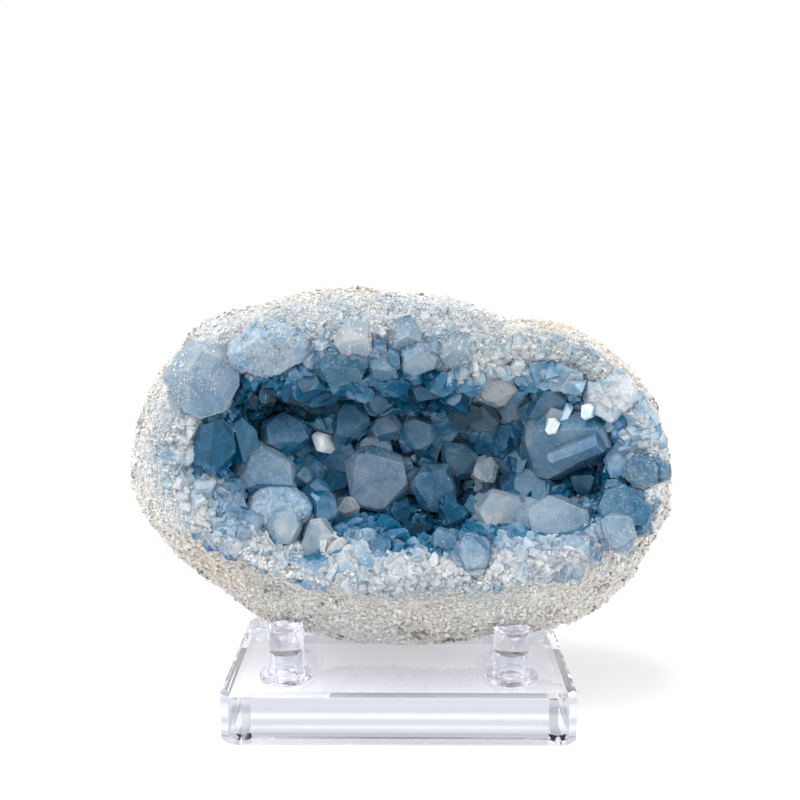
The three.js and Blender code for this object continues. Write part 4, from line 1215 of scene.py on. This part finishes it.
def make_grains(name, count, low, high, weight, size_at, seed):
    """Grains strewn on the stone, turned at random and half sunk: their size follows the place,
    and their mark the stone beneath."""
    angle, place, rng = scatter(count, low, high, weight, seed)
    base = nodule(angle, place)
    size = size_at(place) * (0.5 + 0.9 * rng.random(count) ** 1.5)
    centre = base + outward(angle, place) * (rock_relief(base, place) + 0.05 * size)[:, None]
    centre = lifted(centre, place, seat_height(centre[:, 0], centre[:, 1]) + 1.2 * size)
    axis = unit(rng.normal(size=(count, 3)))
    points, faces, owner = strewn_grains(rng, size, axis, centre)
    sugar = sugar_share(base, place) + 0.25 * (rng.random(count) - 0.5)
    light = 0.08 + 0.82 * rng.random(count) + 0.35 * swell(base, 8, 81) + 0.2 * swell(base, 3, 83)
    warm = warm_share(base) + 0.3 * (rng.random(count) - 0.5)
    marks = np.clip(np.stack([sugar, light, warm], -1), 0, 1)[owner]
    return make_piece(name, points, faces, SUGAR, ROCK, marks)


def rim_grain(place):
    """Half width of a rim grain in millimetres."""
    return np.interp(place, [5.8, 6.6, 7.4, 8.4], [0.33, 0.4, 0.48, 0.52])


def rim_liking(angle, place):
    """Where the rim's grains gather: in drifts, with the blocks between them left clean, and
    evenly by the rind."""
    rindward = ramp(6.6 - place, 0, 0.5)
    drift = ramp(swell(nodule(angle, place), 8, 87) + 1.2 * rindward, -0.15, 0.35)
    return (0.12 + 0.88 * drift) / rim_grain(place) ** 2


def rind_grain(place):
    """Half width of a rind grain in millimetres."""
    return np.interp(place, [0.0, 5.0, 6.2], [0.72, 0.62, 0.48])


def rind_liking(_, place):
    """Where the rind's grains gather: thicker towards the rim."""
    return 0.25 + ramp(place, 3.0, 5.0)


# ---------------- stand
def turned(name, profile, x, y, floor_z, material, sides):
    """A turned piece on its own upright axis: radius and height pairs carried round, closed at
    both ends on the axis."""
    profile = np.array(profile, float)
    angle, ring = np.linspace(0, TURN, sides, endpoint=False), profile[1:-1]
    radius, height = ring[:, :1], ring[:, 1:] + floor_z + 0 * angle
    wall = np.stack([radius * np.cos(angle) + x, radius * np.sin(angle) + y, height], -1)
    start, end = ([x, y, floor_z + profile[row, 1]] for row in (0, -1))
    points = np.concatenate([[start], wall.reshape(-1, 3), [end]])
    home = (name.replace("clear_", ""), "acrylic")
    piece = make_piece(name, points, skin_faces(len(ring), sides), material, home)
    piece.visible_shadow = False


def rounded(radius, height, size, turn_in, turn_out):
    """Quarter circle of five points round an outer corner of a turned profile, its middle at a
    radius and a height, from flat to upright or back."""
    sweep = np.linspace(turn_in, turn_out, 5)
    return [(radius + size * math.cos(a), height + size * math.sin(a)) for a in sweep]


def make_stand():
    """Pegs with a collar and a blind bore from below, and low pads. The slab keeps its own
    solid."""
    quarter = math.pi / 2
    bore, top, rod, tall = PEG["bore"], PEG["bore_top"], PEG["radius"], PEG["height"]
    collar, thick, foot = FLANGE["radius"], FLANGE["height"], PAD["radius"]
    peg = [(0, top), (bore - 0.3, top), (bore, top - 0.3), (bore, 0.1)]
    peg += rounded(collar - 0.9, 0.95, 0.85, -quarter, 0)
    peg += rounded(collar - 0.9, thick - 0.9, 0.9, 0, quarter)
    peg += [(rod + 0.35, thick), (rod, thick + 0.35)]
    peg += rounded(rod - 0.5, tall - 0.5, 0.5, 0, quarter) + [(0, tall)]
    pad = [(0, 0)] + rounded(foot - 0.5, 0.5, 0.5, -quarter, 0) + [(foot, PAD["top"]), (0, PAD["top"])]
    for y, end in ((-1, "front"), (1, "rear")):
        for x, side in ((-1, "left"), (1, "right")):
            where = end + "_" + side
            turned("clear_peg_" + where, peg, x * PEG["x"], y * PEG["y"], SLAB_TOP, ACRYLIC, 72)
            turned("clear_pad_" + where, pad, x * PAD["x"], y * PAD["y"], 0.0, BUMPER, 40)
    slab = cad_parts["stand_base"]
    slab.data.materials.clear()
    slab.data.materials.append(SLAB_ACRYLIC)
    slab.visible_shadow = False


# ---------------- the object
make_rock()
make_rim()
make_bed()
make_great_crystals("great_crystals", CELESTITE, painted_glints=False)
# Small pale crystals as painted highlights, where facets mirror a lamp.
make_great_crystals("painted_highlight_facets", PAINTED_HIGHLIGHT_CELESTITE, painted_glints=True)
make_frosted_crystals()
make_crystal_sugar()
for k, part in enumerate("abcd"):
    make_wall_crystals("wall_crystals_" + part, WALL_COUNT, 5 + k)
for k, part in enumerate("abc"):
    make_grains("rim_sugar_" + part, RIM_COUNT, 5.9, 8.4, rim_liking, rim_grain, 101 + k)
make_grains("rind_sand_a", RIND_COUNT, 0.6, 6.1, rind_liking, rind_grain, 104)
make_stand()


# ---------------- floor, light and camera
def make_floor():
    """A white floor just under the pads."""
    half, below = 8, -0.0003
    corners = [(x * half, y * half, below) for x, y in ((-1, -1), (1, -1), (1, 1), (-1, 1))]
    mesh = bpy.data.meshes.new("floor")
    mesh.from_pydata(corners, [], [(0, 1, 2, 3)])
    mesh.materials.append(make_floor_paint())
    floor = linked("floor", mesh)


def make_surround():
    """An even white surround that the camera sees as pure white, dimmer in front and below for
    the light that it gives and for what shines."""
    world = bpy.data.worlds.new("studio")
    world.use_nodes = True
    bpy.context.scene.world = world
    tree = world.node_tree
    tree.nodes.clear()
    look = add(tree, "TexCoord").outputs["Generated"]
    high = eased(tree, along(tree, look, "Z"), -0.12, 0.5, 0.72, 1.02)
    behind = eased(tree, along(tree, look, "Y"), -0.6, 0.8, 0.5, 1.1)
    mirrored = eased(tree, along(tree, look, "Y"), -0.7, 0.5, 0.35, 1.1)
    ray = add(tree, "LightPath").outputs
    level = mixed(tree, ray["Is Glossy Ray"], times(tree, high, behind), times(tree, high, mirrored))
    glow, plain = (
        add(tree, "Background", {"Color": (1, 1, 1, 1), "Strength": strength}).outputs[0]
        for strength in (level, 1.0)
    )
    both = add(tree, "MixShader", {0: ray["Is Camera Ray"], 1: glow, 2: plain})
    add(tree, "OutputWorld", {"Surface": both.outputs[0]})


def lamp(name, kind, place, height, strength, **shape):
    """One white light at a place, aimed at a height on the object's axis, in metres."""
    data = bpy.data.lights.new(name, kind)
    data.energy = strength
    for key, value in shape.items():
        setattr(data, key, value)
    light = linked(name, data)
    light.location = place
    aim = np.array((0, 0, height)) - np.array(place)
    light.rotation_mode = "QUATERNION"
    light.rotation_quaternion = Vector(aim).to_track_quat("-Z", "Y")


def make_camera():
    """The camera in front of the stand, a little above the rock and looking slightly down."""
    focal_pixels, frame_pixels, sensor = 1008.1, 800, 36.0
    down, aside = 8.75, 0.47
    data = bpy.data.cameras.new("camera")
    data.sensor_width, data.lens = sensor, focal_pixels / frame_pixels * sensor
    camera = linked("camera", data)
    camera.location = np.array([3.3, -372.5, 177.7]) / 1000 + STAND_MIDDLE
    camera.rotation_euler = (math.radians(90 - down), 0, math.radians(aside))
    bpy.context.scene.camera = camera


make_floor()
make_surround()
lamp("high_sun", "SUN", (-0.35, -0.35, 1.1), 0.08, 1.8, angle=math.radians(30))
lamp("left_panel", "AREA", (-0.55, -0.5, 0.55), 0.1, 3.4, shape="SQUARE", size=0.4)
lamp("right_panel", "AREA", (0.65, -0.35, 0.45), 0.1, 3.2, shape="SQUARE", size=0.3)
make_camera()
bpy.context.scene.view_settings.view_transform = "Standard"
for kind in ("max_bounces", "transmission_bounces", "glossy_bounces"):
    setattr(bpy.context.scene.cycles, kind, LIGHT_BOUNCES)
